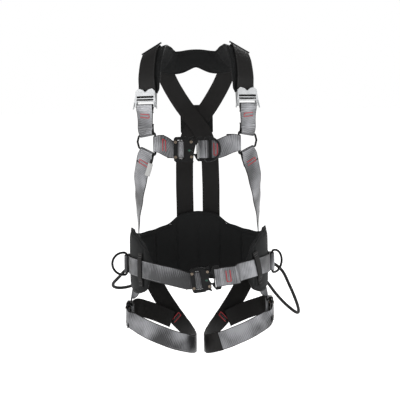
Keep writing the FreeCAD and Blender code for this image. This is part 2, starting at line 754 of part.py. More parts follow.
def shoulder_strap(side):
    """Black strap: hidden adjuster bar, over the shoulder, across the dorsal plate, down the other side."""
    f = adjuster_frame(side)
    bar = Frame(f.point(ADJ_HIDDEN_BAR, 0, ADJ_HIDDEN_DEPTH), f.x * -1, f.z)
    start = threaded(bar, eye(ADJ_BAR_R, ADJ_BAR_R, tail=12.0))
    over = mirrored(SHOULDER_FRONT + SHOULDER_BACK, side)
    lower = mirrored(BACK_LOWER, side)
    layer = side * (WEB_T / 2 + CROSSING_GAP)
    back = [(x, y + (layer if y > 90 and z > CROSSING_Z else 0), z) for x, y, z in over + lower]
    return ribbon(start + route(back, outward))


def side_strap(side):
    """From the link's lower bar down the side, inside the waist pad, on to the thigh strap."""
    end = threaded(link_bar_frame(side, 3, 4), eye(LINK_ROD / 2, LINK_ROD / 2, tail=18.0), narrow=LINK_NARROW)
    body = []
    for i, xyz in enumerate(mirrored(SIDE_ROUTE + SIDE_LOW, side)):
        p = V(*xyz)
        turn = min(1.0, i / len(SIDE_ROUTE))
        body.append(Station(p, unit(outward(p) * (1 - turn) + V(side, 0, 0) * turn)))
    return ribbon(end + body)


def leg_strap(side):
    """From the tongue round the front of the thigh, between the legs and up over the seat to the belt."""
    f = tongue_frame(LEGS[side])
    start = threaded(f, eye(EYE_BAR_W / 2, TONGUE_T / 2, lean=-2.0, tail=10.0))
    points = mirrored(LEG_FRONT + CROTCH + SEAT, side)
    return ribbon(start + route(points, outward_from_thigh(side)))


def thigh_strap(side):
    """From the housing round the back of the thigh to the seat strap."""
    thread = threaded(LEGS[side], housing_thread(tail=HOUSING_TAIL))
    first = LEGS[side].point(-THIGH_LEAD, 0, -HOUSING_HALF_T - WEB_GAP - WEB_T / 2)
    lead = [tuple(first)] + mirrored(THIGH, side)
    stations = route(lead, outward_from_thigh(side))
    stations[0].n = LEGS[side].z
    return ribbon(list(reversed(stations)) + thread)


def chest_keeper():
    """Slide plate that closes the fold round the chest D-ring."""
    f = tongue_frame(CHEST)
    low = -(TONGUE_T / 2 + FOLD_SLACK + WEB_T) - WEB_GAP
    high = low + 2 * WEB_T + FOLD_GAP + 3 * WEB_GAP + 0.1
    wall = KEEPER_WALL
    half = WEB_W / 2 + WEB_GAP
    half_l = KEEPER_L / 2
    outer = box(KEEPER_X - half_l, KEEPER_X + half_l, -half - wall, half + wall, low - wall, high + wall)
    return f.place(outer.cut(box(KEEPER_X - half_l - 1, KEEPER_X + half_l + 1, -half, half, low, high)))


def adjuster(side):
    """Pressed adjuster frame: x down along the strap, three slots, notched top, flared cheeks."""
    half_t = ADJ_T / 2
    half_w = ADJ_W / 2
    slot_half = WEB_W / 2 + 0.6
    edge = [(-22.5, 8), (-25, half_w - 9), (-19, half_w - 1), (ADJ_CHEEK_TOP, half_w), (ADJ_BOTTOM, half_w)]
    outline = [(-16, 0)] + edge + [(x, -y) for x, y in reversed(edge)]
    body = plate(outline, -half_t, half_t)
    bottom_slot = ADJ_BOTTOM_BAR - ADJ_BAR_R
    for low, high in (*ADJ_SLOTS, (ADJ_LAST_SLOT, bottom_slot)):
        body = body.cut(box(low, high, -slot_half, slot_half, -half_t - 1, half_t + 1))
    for s in (1, -1):
        y0, y1 = sorted((s * (half_w - ADJ_CHEEK_T), s * half_w))
        body = body.fuse(box(ADJ_CHEEK_TOP, ADJ_BOTTOM, y0, y1, ADJ_HIDDEN_DEPTH - ADJ_BAR_R, half_t))
        flare = plate([(-8, s * half_w), (24, s * (half_w + 6)), (24, s * (half_w + 4)), (0, s * (half_w - 1))],
                      -half_t, half_t)
        body = body.fuse(flare)
    return adjuster_frame(side).place(body.removeSplitter())


def adjuster_bar(side):
    """Bar behind the adjuster frame that the shoulder webbing folds round."""
    half = ADJ_W / 2 - ADJ_CHEEK_T
    start = V(ADJ_HIDDEN_BAR, -half, ADJ_HIDDEN_DEPTH)
    return adjuster_frame(side).place(Part.makeCylinder(ADJ_BAR_R, 2 * half, start, V(0, 1, 0)))


def slider(side):
    """Two-slot slider lying on the shoulder webbing."""
    p = V(side * SHOULDER_FRONT[-1][0], SHOULDER_FRONT[-1][1], SHOULDER_FRONT[-1][2])
    f = Frame(p, V(0, 1, 0), outward(p))
    low = WEB_T / 2 + WEB_GAP
    body = box(-SLIDER_W / 2, SLIDER_W / 2, -SLIDER_L / 2, SLIDER_L / 2, low, low + SLIDER_T)
    body = soften(body, upright, 4.0)
    slot = SLIDER_L / 2 - 5
    for x in (-SLIDER_W / 4, SLIDER_W / 4):
        body = body.cut(box(x - 3, x + 3, -slot, slot, low - 1, low + SLIDER_T + 1))
    return f.place(body)


def dorsal_plate():
    """Plate over the crossing of the back straps, with two lugs for the dorsal D-ring."""
    f = Frame((0, DORSAL_Y, DORSAL_BAR_Z), (0, 0, -1), (0, 1, 0))
    edge = [(-36, 26), (-30, 38), (-10, 42), (34, 42), (52, 24)]
    outline = [(x, -y) for x, y in edge] + list(reversed(edge))
    body = plate(outline, 0, DORSAL_T)
    for x, y in ((-20, 0), (33, 0)):
        body = body.cut(box(x - 3, x + 3, y - 15, y + 15, -1, DORSAL_T + 1))
    for s in (1, -1):
        y0 = min(s * LUG_IN, s * (LUG_IN + LUG_L))
        body = body.fuse(Part.makeCylinder(LUG_R, LUG_L, V(0, y0, DORSAL_BAR_OUT), V(0, 1, 0)))
        body = body.fuse(box(-LUG_R, LUG_R, y0, y0 + LUG_L, 0, DORSAL_BAR_OUT))
        bore = Part.makeCylinder(D_ROD / 2 + D_LUG_GAP, LUG_L + 2, V(0, y0 - 1, DORSAL_BAR_OUT), V(0, 1, 0))
        body = body.cut(bore)
    return f.place(body.removeSplitter())


def dorsal_ring_frame():
    return Frame((0, DORSAL_Y + DORSAL_BAR_OUT, DORSAL_BAR_Z), (0, 0, -1), (0, 1, 0))


def ring_loop(side):
    """Short webbing loop that ties a belt D-ring's bar to the belt."""
    path = eye(D_ROD / 2, D_ROD / 2, lean=-(D_ROD / 2 + FOLD_SLACK - 0.1), tail=8.0)
    return ribbon(threaded(side_ring_frame(side), path))


def belt_loop(side):
    """Loop sewn to the waist pad above and below the belt, with the belt running under it."""
    a, b = (V(*p) for p in mirrored(BELT_SIDE[2:4], side))
    out = unit((b - a).cross(V(0, 0, 1)) * side)
    at_top, at_bottom, width = BELT_LOOPS[side]
    over = WEB_T + WEB_GAP
    belt_z = (a.z + b.z) / 2
    half = WEB_W / 2
    low = WEB_GAP
    top = half + BELT_LOOP_ABOVE
    bottom = half + BELT_LOOP_BELOW
    heights = [
        (top, low), (half + 7, low), (half + 2.5, over + low), (-half - 2.5, over + low), (-half - 7, low),
        (-bottom, low),
    ]
    stations = []
    for dz, lift in heights:
        share = (top - dz) / (top + bottom)
        u = at_top + (at_bottom - at_top) * share
        p = V(a.x + (b.x - a.x) * u, a.y + (b.y - a.y) * u, belt_z + dz) + out * lift
        stations.append(Station(p, out, width, BELT_LOOP_T))
    return ribbon(stations)


def shoulder_yoke():
    """Padded yoke under the shoulder webbing, joined behind the neck."""
    arm = []
    over = YOKE_FRONT + SHOULDER_FRONT + SHOULDER_BACK[:1]
    for (x, y, z), width in zip(over, YOKE_WIDTHS):
        p = V(x, y, z)
        n = outward(p)
        arm.append(Station(p - n * YOKE_IN - V(YOKE_ASIDE, 0, 0), n, width, YOKE_T))
    for x, y, z, width in YOKE_NECK:
        n = unit(V(x / TRUNK_HALF_W**2, y / TRUNK_HALF_D**2, 0.0012))
        arm.append(Station(V(x, y, z), n, width, YOKE_T))
    other = [across_body(s) for s in arm[:-1]]
    return ribbon(arm + list(reversed(other)))


def waist_pad():
    """Moulded pad inside the belt, from lobe to lobe round the back."""
    left = []
    for x, y, top, bottom in PAD_EDGES:
        p = V(x, y, BELT_BACK[0][2])
        left.append(Station(p, outward(p), top - bottom, WAIST_PAD_T, (top + bottom) / 2 - p.z))
    right = [across_body(s) for s in left[:-1]]
    return ribbon(inset(left + list(reversed(right)), WEB_T / 2 + PAD_GAP + WAIST_PAD_T / 2))


def label_tag():
    """Bare tag on a short tab at the inner edge of the right side strap, below the torso link."""
    bar = link_bar_frame(-1, 3, 4)
    inner = bar.y if bar.y.x > 0 else bar.y * -1
    start = LINK_ROD / 2 + 4 * (LINK_ROD / 2 + FOLD_SLACK + WEB_T / 2)
    lift = WEB_T + FOLD_GAP / 2 + WEB_GAP + TAB_T / 2
    top = bar.point(start, 0, lift) + inner * TAG_ASIDE
    down = unit(bar.x + inner * 0.08)
    out = bar.z
    tab = ribbon([Station(top, out, TAB_W, TAB_T), Station(top + down * TAB_L, out, TAB_W, TAB_T)])
    low = top + down * (TAB_L + TAG_GAP)
    tag = ribbon([Station(low, out, TAG_W, TAG_T), Station(low + down * TAG_L, out, TAG_W, TAG_T)])
    return [tab, tag]


def gear_loop(side):
    points = GEAR_ROUTES[side]
    count = len(points)
    radii = [0.0] * count
    for i in range(1, count - 1):
        a, b, c = (V(*points[k]) for k in (i - 1, i, i + 1))
        half = (b - a).getAngle(c - b) / 2
        radii[i] = GEAR_CORD_BEND * min(a.distanceToPoint(b), b.distanceToPoint(c)) / tan(half)
    print("gear loop", side, "bend radii", [round(r, 1) for r in radii[1:-1]])
    edges = rounded_path(points, radii)
    tube = rod(edges, GEAR_CORD / 2)
    length = sum(e.Length for e in edges)
    ratio = tube.Volume / (pi * (GEAR_CORD / 2) ** 2 * length)
    print("gear loop", side, "length", round(length, 1), "volume ratio", round(ratio, 4))
    return tube


def export(name, shapes):
    """Write one node; a list becomes a group of separate solids."""
    solids = shapes if isinstance(shapes, list) else [shapes]
    for s in solids:
        if len(s.Solids) != 1 or not s.isValid() or s.Volume <= 0:
            print("CHECK", name, len(s.Solids), s.isValid(), round(s.Volume, 1))
    shape = solids[0] if len(solids) == 1 else Part.makeCompound(solids)
    shape.exportStep(f"parts/{name}.step")


def main():
    os.makedirs("parts", exist_ok=True)
    pieces = buckle_pieces()
    groups = {"rivets": [], "springs": [], "bars": []}
    for name, frame in BUCKLES.items():
        up = frame.y.z > 0
        export(f"{name}_buckle_base_plate", frame.place(pieces["base_plate"]))
        export(f"{name}_buckle_cover_plate", frame.place(pieces["cover_plate"]))
        export(f"{name}_buckle_lever_upper", frame.place(pieces["lever_a" if up else "lever_b"]))
        export(f"{name}_buckle_lever_lower", frame.place(pieces["lever_b" if up else "lever_a"]))
        export(f"{name}_buckle_tongue", frame.place(pieces["tongue"]))
        for group in groups:
            groups[group] += [frame.place(p) for p in pieces[group]]
    export("buckle_rivets", groups["rivets"])
    export("lever_springs", groups["springs"])
    export("buckle_web_bars", groups["bars"])
    export("chest_strap_right", chest_strap_right())
    export("chest_strap_left", chest_strap_left())
    export("chest_ring_keeper", chest_keeper())
    export("chest_d_ring", swung(d_ring(), chest_ring_frame(), CHEST_D_SWING))
    export("waist_belt", waist_belt())
    export("waist_belt_tongue_side", waist_belt_tongue_side())
    export("belt_ring_loops", [ring_loop(s) for s in (1, -1)])
    export("waist_pad_belt_loops", [belt_loop(s) for s in (1, -1)])
    export("torso_links", [torso_link(s) for s in (1, -1)])
    export("adjuster_bars", [adjuster_bar(s) for s in (1, -1)])
    export("shoulder_sliders", [slider(s) for s in (1, -1)])
    export("shoulder_yoke_pad", shoulder_yoke())
    export("waist_pad", waist_pad())
    export("dorsal_plate", dorsal_plate())
    export("dorsal_d_ring", swung(d_ring(), dorsal_ring_frame(), 0.0))
    export("label_tag", label_tag())
    for s, word in SIDE_NAMES.items():
        export(f"side_d_ring_{word}", swung(d_ring(), side_ring_frame(s), SIDE_D_SWING[s]))
        export(f"adjuster_frame_{word}", adjuster(s))
        export(f"front_strap_{word}", front_strap(s))
        export(f"shoulder_strap_{word}", shoulder_strap(s))
        export(f"side_strap_{word}", side_strap(s))
        export(f"leg_strap_{word}", leg_strap(s))
        export(f"thigh_strap_{word}", thigh_strap(s))
        export(f"gear_loop_{word}", gear_loop(s))


main()
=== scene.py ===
"""Full body safety harness: webbing, pads, stitching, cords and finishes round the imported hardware.

Lengths in the tables are millimetres; meshes are made in metres.
+X is the wearer's left, -Y the front, +Z up.
"""
from math import cos, pi, radians, sin, sqrt

import bmesh
import bpy
from mathutils import Matrix, Vector
from mathutils.kdtree import KDTree


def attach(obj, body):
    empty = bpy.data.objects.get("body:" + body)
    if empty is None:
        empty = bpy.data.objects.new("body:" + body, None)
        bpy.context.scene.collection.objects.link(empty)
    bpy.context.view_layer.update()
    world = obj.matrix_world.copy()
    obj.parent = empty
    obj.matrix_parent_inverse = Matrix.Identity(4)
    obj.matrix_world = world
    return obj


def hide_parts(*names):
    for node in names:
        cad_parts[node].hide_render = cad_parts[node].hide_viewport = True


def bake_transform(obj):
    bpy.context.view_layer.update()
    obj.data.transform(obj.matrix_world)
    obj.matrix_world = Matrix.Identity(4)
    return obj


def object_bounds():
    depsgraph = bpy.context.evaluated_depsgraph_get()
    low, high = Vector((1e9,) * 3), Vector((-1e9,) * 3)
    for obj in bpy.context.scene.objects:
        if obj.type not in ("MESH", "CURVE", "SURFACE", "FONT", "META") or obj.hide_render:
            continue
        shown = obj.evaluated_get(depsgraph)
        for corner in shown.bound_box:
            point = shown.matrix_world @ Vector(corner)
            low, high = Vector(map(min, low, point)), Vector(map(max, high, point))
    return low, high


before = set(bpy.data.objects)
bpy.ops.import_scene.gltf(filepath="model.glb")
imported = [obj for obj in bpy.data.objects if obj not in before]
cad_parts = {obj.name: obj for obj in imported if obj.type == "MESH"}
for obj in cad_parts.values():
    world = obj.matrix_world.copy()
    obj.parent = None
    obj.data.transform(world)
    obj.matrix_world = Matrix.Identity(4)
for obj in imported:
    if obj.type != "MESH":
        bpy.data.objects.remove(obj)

bl_info = {
    "name": "Safety Harness Maker",
    "version": (1, 0, 0),
    "blender": (4, 5, 0),
    "location": "3D View > Sidebar > Harness",
    "description": "Makes the webbing, pads, stitching and finishes of a full body safety harness",
    "category": "Object",
}

MM = 0.001
CAD_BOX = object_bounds()
SIDES = {1: "left", -1: "right"}


# ---------------------------------------------------------------- settings

def colour(name, description, default):
    return bpy.props.FloatVectorProperty(name=name, description=description, default=default, subtype="COLOR")


def measure(name, description, default):
    return bpy.props.FloatProperty(name=name, description=description, default=default, unit="LENGTH")


def turn(name, description, degrees):
    return bpy.props.FloatProperty(
        name=name, description=description, default=radians(degrees), subtype="ANGLE")


class HarnessWebbing(bpy.types.PropertyGroup):
    edge: measure("Edge line", "Width of the dark selvedge on the face", 0.0016)
    grey: colour("Grey yarn", "Colour of the grey webbing face", (0.115, 0.116, 0.122))
    black: colour("Black yarn", "Colour of the black webbing", (0.0075, 0.0068, 0.0065))
    thread: colour("Tack thread", "Colour of the bar tacks", (0.62, 0.035, 0.05))


class HarnessPads(bpy.types.PropertyGroup):
    cloth: colour("Pad cloth", "Colour of the pad cover", (0.0065, 0.007, 0.0072))
    piping: measure("Piping radius", "Radius of the sewn piping", 0.0022)
    swell: measure("Swell", "How far the foam may push its cover out", 0.0030)
    voxel: measure("Cover mesh", "Mesh size of the cover while it is inflated", 0.005)


class HarnessHardware(bpy.types.PropertyGroup):
    black: colour("Black coating", "Colour of the coated metal", (0.0055, 0.0058, 0.006))
    bright: colour("Bright metal", "Colour of the bare metal", (0.30, 0.305, 0.31))
    bronze: colour("Rivet metal", "Colour of the rivet heads", (0.23, 0.185, 0.145))
    window: colour("Indicator", "Colour of the closed indicator", (0.006, 0.085, 0.05))
    cord: measure("Gear loop", "Diameter of the gear loop cord", 0.008)


class HarnessStage(bpy.types.PropertyGroup):
    distance: measure("Camera distance", "Distance of the camera", 3.0)
    rise: turn("Camera rise", "Elevation of the camera", 5.0)
    roll: turn("Camera roll", "Roll of the camera", 0.95)
    lens: bpy.props.FloatProperty(
        name="Lens", description="Focal length on a 36 mm sensor, in millimetres", default=108.0)
    height: measure("Aim height", "Height that the camera looks at", -0.372)
    gap: measure("Floor gap", "Floor below the harness", 0.06)


def settings():
    scene = bpy.context.scene
    return scene.harness_webbing, scene.harness_pads, scene.harness_hardware, scene.harness_stage


# ---------------------------------------------------------------- geometry

def V(x, y=0.0, z=0.0):
    return Vector((x, y, z))


def unit(v):
    return Vector(v).normalized()


TRUNK_HALF = (166.0, 115.0, 132.0)
TRUNK_TOP_FROM = -110.0
THIGH_X, THIGH_Y = 92.0, 5.0


def outward(p):
    """Direction out of the trunk."""
    a, b, c = TRUNK_HALF
    return unit(V(p.x / a**2, p.y / b**2, max(0.0, p.z - TRUNK_TOP_FROM) / c**2))


def outward_from_thigh(side):
    return lambda p: unit(V(p.x - side * THIGH_X, p.y - THIGH_Y, 0.0))


class Frame:
    """A local frame: x along, y across, z outward."""

    def __init__(self, origin, along, out):
        self.origin = Vector(origin)
        self.x = unit(along)
        self.y = unit(Vector(out).cross(self.x))
        self.z = self.x.cross(self.y)

    def point(self, x, y=0.0, z=0.0):
        return self.origin + self.x * x + self.y * y + self.z * z


class Station:
    """One section of a strap or pad: centre, outward normal, width, thickness and rise above the path."""

    def __init__(self, p, n, width, thick=1.8, rise=0.0):
        self.p, self.n, self.width, self.thick, self.rise = Vector(p), Vector(n), width, thick, rise


WEB_W = 45.0
BEND_CUT = 1.3                  # corner of a bend round a flat bar
CROWN_CUT = 1.6                 # corner of the bend over both bars
ROUND_CUT = 0.586               # an octagon round a bar: its corner cut
ROUND_FLAT = 0.414              # and half its side
WEB_T = 1.8
WEB_GAP = 0.3
FOLD_GAP = 0.2
SLACK = 0.5
BAR_R = 2.3
BARS = (-9.1, -2.3)
PLATE_LEFT = -23.0
HOUSING_HALF_T = 6.5
EYE_BAR_X = 42.3
HOUSING_TAIL = 10.0
CHEST = Frame((-33, -131, -239), (1, 0, 0), (0, -1, 0))
WAIST = Frame((3, -133, -553), (cos(radians(7)), 0, sin(radians(7))), (0, -1, 0))
LEGS = {1: Frame((178, -5, -647), (0, -1, 0), (1, 0, 0)), -1: Frame((-178, -5, -655), (0, -1, 0), (-1, 0, 0))}
LINK_CORNERS = [(-24, 27), (22, 19), (26, 5), (22, -9), (-24, -28)]


def tongue_frame(buckle):
    return Frame(buckle.point(EYE_BAR_X, 0, 1.0), buckle.x, buckle.z)


def link_frame(side):
    centre = V(side * 121, -101, -226)
    out = outward(centre)
    return Frame(centre, V(0, 0, 1).cross(out) * side, out)


def link_bar(side, first, second):
    """Frame on one straight side of a torso link, x pointing out of the ring."""
    f = link_frame(side)
    ends = (LINK_CORNERS[first], LINK_CORNERS[second], (0, 0))
    a, b, mid = (f.origin + f.x * u + V(0, 0, v) for u, v in ends)
    away = unit(b - a).cross(f.z)
    if away.dot((a + b) / 2 - mid) < 0:
        away.negate()
    return Frame((a + b) / 2, away, f.z)


def adjuster_frame(side):
    centre = V(side * 122, -113, -118)
    return Frame(centre, V(side * sin(radians(8)) * 0.3, -0.12, -1), unit(outward(centre) + V(0, 0, 0.05)))


def threaded(f, path, narrow=None):
    """Stations along (along, outward) pairs in a frame; the face turns with the path."""
    stations = []
    for i, (a, n) in enumerate(path):
        a0, n0 = path[max(i - 1, 0)]
        a1, n1 = path[min(i + 1, len(path) - 1)]
        going = V(a1 - a0, n1 - n0)
        if 0 < i < len(path) - 1:
            going = unit(V(a - a0, n - n0)) + unit(V(a1 - a, n1 - n))
        normal = f.x * -going.y + f.z * going.x
        width = WEB_W if not narrow or a > narrow[1] else narrow[0]
        stations.append(Station(f.point(a, 0, n), unit(normal), width))
    return stations


def eye(half_l, half_t, lean=0.0, tail=30.0, front=True, tuck=0.0):
    """Webbing folded round a bar: tail, fold, then out again on the front layer.

    The tail's end is tucked inward; without front, the outer layer leaves straight from the fold.
    """
    layer = (WEB_T + FOLD_GAP) / 2
    reach, height = half_l + SLACK + WEB_T / 2, half_t + SLACK + WEB_T / 2
    is_round = half_l == half_t
    cut = ROUND_CUT * height if is_round else BEND_CUT
    flat = half_l - ROUND_FLAT * height if is_round else half_l + 0.5
    meet = half_l + 4 * height
    path = [(meet + tail, lean - layer - tuck), (meet, lean - layer), (flat, -height),
            (-reach + cut, -height), (-reach, -height + cut), (-reach, height - cut),
            (-reach + cut, height), (flat, height), (meet, lean + layer)]
    return path + [(meet + tail, lean + layer)] if front else path


def housing_thread(tail):
    """In under the base plate, over both bars and out underneath."""
    first = -HOUSING_HALF_T - WEB_GAP - WEB_T / 2
    second = first - WEB_T - FOLD_GAP
    off = BAR_R + SLACK + WEB_T / 2
    left, right, crown = BARS[0] - off, BARS[1] + off, 0.6 + off
    start, low = PLATE_LEFT - 6, crown - CROWN_CUT
    return [(start, first), (left - 1, first), (left, first + 1), (left, low), (left + CROWN_CUT, crown),
            (BARS[0] + 0.8, crown), (sum(BARS) / 2, low), (BARS[1] - 0.8, crown), (right - CROWN_CUT, crown),
            (right, low), (right, second + 1), (right - 1, second), (start, second), (start - tail, second)]


def route(points, facing):
    return [Station(V(*p), facing(V(*p)), WEB_W) for p in points]


def mirrored(points, side):
    return [(side * x, y, z) for x, y, z in points]


def backwards(stations):
    return list(reversed(stations))


def smooth(stations, spacing):
    """Rows along a smooth curve through the stations."""
    rows = []
    ps = [s.p for s in stations]
    ps = [ps[0] * 2 - ps[1]] + ps + [ps[-1] * 2 - ps[-2]]
    for i in range(len(stations) - 1):
        p0, p1, p2, p3 = ps[i:i + 4]
        a, b = stations[i], stations[i + 1]
        t1 = (p1 - p0).length**0.5
        t2 = t1 + (p2 - p1).length**0.5
        t3 = t2 + (p3 - p2).length**0.5
        count = max(2, min(30, round((p2 - p1).length / spacing)))
        for k in range(count + (i == len(stations) - 2)):
            u = k / count
            t = t1 + (t2 - t1) * u
            a1, a2 = p0.lerp(p1, t / t1), p1.lerp(p2, (t - t1) / (t2 - t1))
            a3 = p2.lerp(p3, (t - t2) / (t3 - t2))
            b1, b2 = a1.lerp(a2, t / t2), a2.lerp(a3, (t - t1) / (t3 - t1))
            ease = u * u * (3 - 2 * u)
            rows.append(Station(b1.lerp(b2, (t - t1) / (t2 - t1)), unit(a.n.lerp(b.n, ease)),
                                a.width + (b.width - a.width) * ease, a.thick + (b.thick - a.thick) * ease,
                                a.rise + (b.rise - a.rise) * ease))
    for i, row in enumerate(rows):
        row.t = unit(rows[min(i + 1, len(rows) - 1)].p - rows[max(i - 1, 0)].p)
        row.side = unit(row.t.cross(row.n))
        row.n = row.side.cross(row.t)
        row.s = 0.0 if i == 0 else rows[i - 1].s + (row.p - rows[i - 1].p).length
    return rows


def make_piece(name, verts, faces, kinds=None, materials=(), uvs=None):
    """Mesh object in metres from millimetre points; kinds are the faces' material numbers."""
    mesh = bpy.data.meshes.new(name)
    mesh.from_pydata([Vector(v) * MM for v in verts], [], faces)
    for m in materials:
        mesh.materials.append(m)
    if kinds:
        mesh.polygons.foreach_set("material_index", kinds)
    if uvs:
        layer = mesh.uv_layers.new(name="weave")
        for loop in mesh.loops:
            layer.data[loop.index].uv = uvs[loop.vertex_index]
    mesh.polygons.foreach_set("use_smooth", [True] * len(mesh.polygons))
    mesh.set_sharp_from_angle(angle=radians(50))
    mesh.update()
    piece = bpy.data.objects.new(name, mesh)
    bpy.context.scene.collection.objects.link(piece)
    return piece


def recalculated(piece):
    """Faces turned to point outwards."""
    bm = bmesh.new()
    bm.from_mesh(piece.data)
    bmesh.ops.recalc_face_normals(bm, faces=bm.faces)
    bm.to_mesh(piece.data)
    bm.free()
    return piece


class Strap:
    """Woven strap with a dark selvedge; keeps its rows so that stitching can be laid on it."""

    def __init__(self, stations, spacing=3.5):
        self.rows = smooth(stations, spacing)
        self.length = self.rows[-1].s

    def build(self, name, face, back, edge):
        web = settings()[0]
        line = web.edge / MM
        verts, uvs, faces, kinds = [], [], [], []
        for row in self.rows:
            half, t = row.width / 2, row.thick / 2
            inner = half - line
            offs = [(-half, 0.25 * t), (-half + 0.5, t), (-inner, t)]
            offs += [(k / 3 * inner, t) for k in (-2, -1, 0, 1, 2)]
            offs += [(inner, t), (half - 0.5, t), (half, 0.25 * t)]
            ring = offs + [(a, -h) for a, h in reversed(offs)]
            for a, h in ring:
                lift = 0.35 * (1 - (a / half)**2)
                verts.append(row.p + row.side * (a + self.across(row)) + row.n * (h + lift))
                uvs.append((row.s * MM, a * MM))
        size = len(ring)
        kind = [2, 2, 0, 0, 0, 0, 0, 0, 2, 2, 2, 2, 2, 1, 1, 1, 1, 1, 1, 2, 2, 2]
        for i in range(len(self.rows) - 1):
            for j in range(size):
                k = (j + 1) % size
                faces.append((i * size + j, i * size + k, (i + 1) * size + k, (i + 1) * size + j))
                kinds.append(kind[j])
        faces += [tuple(range(size)), tuple((len(self.rows) - 1) * size + j for j in reversed(range(size)))]
        kinds += [2, 2]
        return recalculated(make_piece(name, verts, faces, kinds, (face, back, edge), uvs))

    def across(self, row):
        return row.rise if row.side.z > 0 else -row.rise

    def near(self, *point):
        """Distance along the strap to the place of its outer layer nearest to a point."""
        p = V(*point)
        outer = [row for row in self.rows if row.n.dot(outward(row.p)) > 0.0]
        return min(outer or self.rows, key=lambda row: (row.p - p).length).s

    def spot(self, s):
        """Place, direction, outward and sideways normal at a distance along the strap."""
        s = s if s >= 0 else self.length + s
        i = next((k for k, row in enumerate(self.rows) if row.s >= s), len(self.rows) - 1)
        a, b = self.rows[max(0, i - 1)], self.rows[i]
        share = 0.0 if b.s == a.s else min(1.0, max(0.0, (s - a.s) / (b.s - a.s)))
        row = Station(a.p.lerp(b.p, share), unit(a.n.lerp(b.n, share)), a.width, a.thick, a.rise)
        row.t, row.side, row.s = unit(a.t.lerp(b.t, share)), unit(a.side.lerp(b.side, share)), s
        return row


class Stitching:
    """Raised thread laid on straps: bar tacks and running stitches, gathered into one piece."""

    def __init__(self):
        self.verts, self.faces, self.kinds = [], [], []

    def ridge(self, start, end, up, width, height, pitch, kind=0):
        """A ridge of thread from start to end, its crests pitch apart."""
        along = end - start
        count = max(3, int(along.length / pitch) * 2)
        side = unit(along.cross(up))
        base = len(self.verts)
        for i in range(count + 1):
            p = start + along * (i / count)
            swell = 1.0 if i % 2 else 0.72
            if i in (0, count):
                swell = 0.3
            for k in range(5):
                a = pi * k / 4
                across = cos(a) * width / 2 * (0.85 + 0.15 * swell)
                self.verts.append(p - side * across + up * (sin(a) * height * swell - 0.1))
        for i in range(count):
            for k in range(4):
                a = base + i * 5 + k
                self.faces.append((a, a + 5, a + 6, a + 1))
                self.kinds.append(kind)

    def tack(self, strap, s, length=27.0, gap=10.0, shut=1, face=1, bars=None):
        """Two bars across the strap, or along bars, joined at one end, with stitches between."""
        ends = []
        s = s if s >= 0 else strap.length + s
        row = strap.spot(s)
        lift = row.thick / 2 + 0.45
        side = unit(bars - row.n * bars.dot(row.n)) if bars else row.side
        for d in (-gap / 2, gap / 2):
            c = strap.spot(s + d).p + row.n * (face * lift) + row.side * strap.across(row)
            self.ridge(c - side * (length / 2), c + side * (length / 2), row.n * face, 2.4, 0.8, 0.9)
            ends.append(c + side * (shut * length / 2))
        self.ridge(ends[0], ends[1], row.n * face, 2.0, 0.7, 0.9)
        for k in range(-3, 4):
            self.running(strap, s - gap / 2 + 1.5, s + gap / 2 - 1.5, k * length / 8, face, 2.6, 0.7)

    def running(self, strap, first, last, offset, face=1, stitch=3.0, gap=0.9, kind=1):
        """A straight line of stitches along the strap between two distances."""
        s = first
        while s + stitch < last:
            a, b = strap.spot(s), strap.spot(s + stitch)
            lift = a.thick / 2 + 0.12 + 0.35 * (1 - (2 * offset / a.width)**2) * face
            shift = offset + strap.across(a)
            self.ridge(a.p + a.side * shift + a.n * (face * lift), b.p + b.side * shift + b.n * (face * lift),
                       a.n * face, 0.7, 0.35, stitch, kind)
            s += stitch + gap

    def build(self, name, materials):
        return recalculated(make_piece(name, self.verts, self.faces, self.kinds, materials))


TUBE_SIDES = 10


def tube(name, points, radius, material):
    """Round tube along a closed line of points in millimetres."""
    verts, faces = [], []
    count, sides = len(points), TUBE_SIDES
    ups = None
    for i, p in enumerate(points):
        t = unit(points[(i + 1) % count] - points[i - 1])
        if ups is None:
            ups = unit(t.orthogonal())
        ups = unit(ups - t * ups.dot(t))
        other = t.cross(ups)
        for k in range(sides):
            a = 2 * pi * k / sides
            verts.append(p + ups * (cos(a) * radius) + other * (sin(a) * radius))
    for i in range(count):
        for k in range(sides):
            a, b = i * sides, ((i + 1) % count) * sides
            faces.append((a + k, a + (k + 1) % sides, b + (k + 1) % sides, b + k))
    return recalculated(make_piece(name, verts, faces, None, (material,)))


# ---------------------------------------------------------------- shaders

class Value:
    """A shader socket whose arithmetic adds Math nodes."""

    def __init__(self, finish, socket):
        self.finish, self.socket = finish, socket

    def maths(self, operation, *terms):
        return self.finish.node("ShaderNodeMath", {"operation": operation}, dict(enumerate(terms)))

    def __add__(self, other):
        return self.maths("ADD", self, other)

    def __sub__(self, other):
        return self.maths("SUBTRACT", self, other)

    def __mul__(self, other):
        return self.maths("MULTIPLY", self, other)

    def __truediv__(self, other):
        return self.maths("DIVIDE", self, other)

    def __rsub__(self, other):
        return self.maths("SUBTRACT", other, self)

    def sine(self):
        return self.maths("SINE", self)

    def size(self):
        return self.maths("ABSOLUTE", self)

    def kept(self):
        return self.finish.node("ShaderNodeClamp", {}, {0: self})


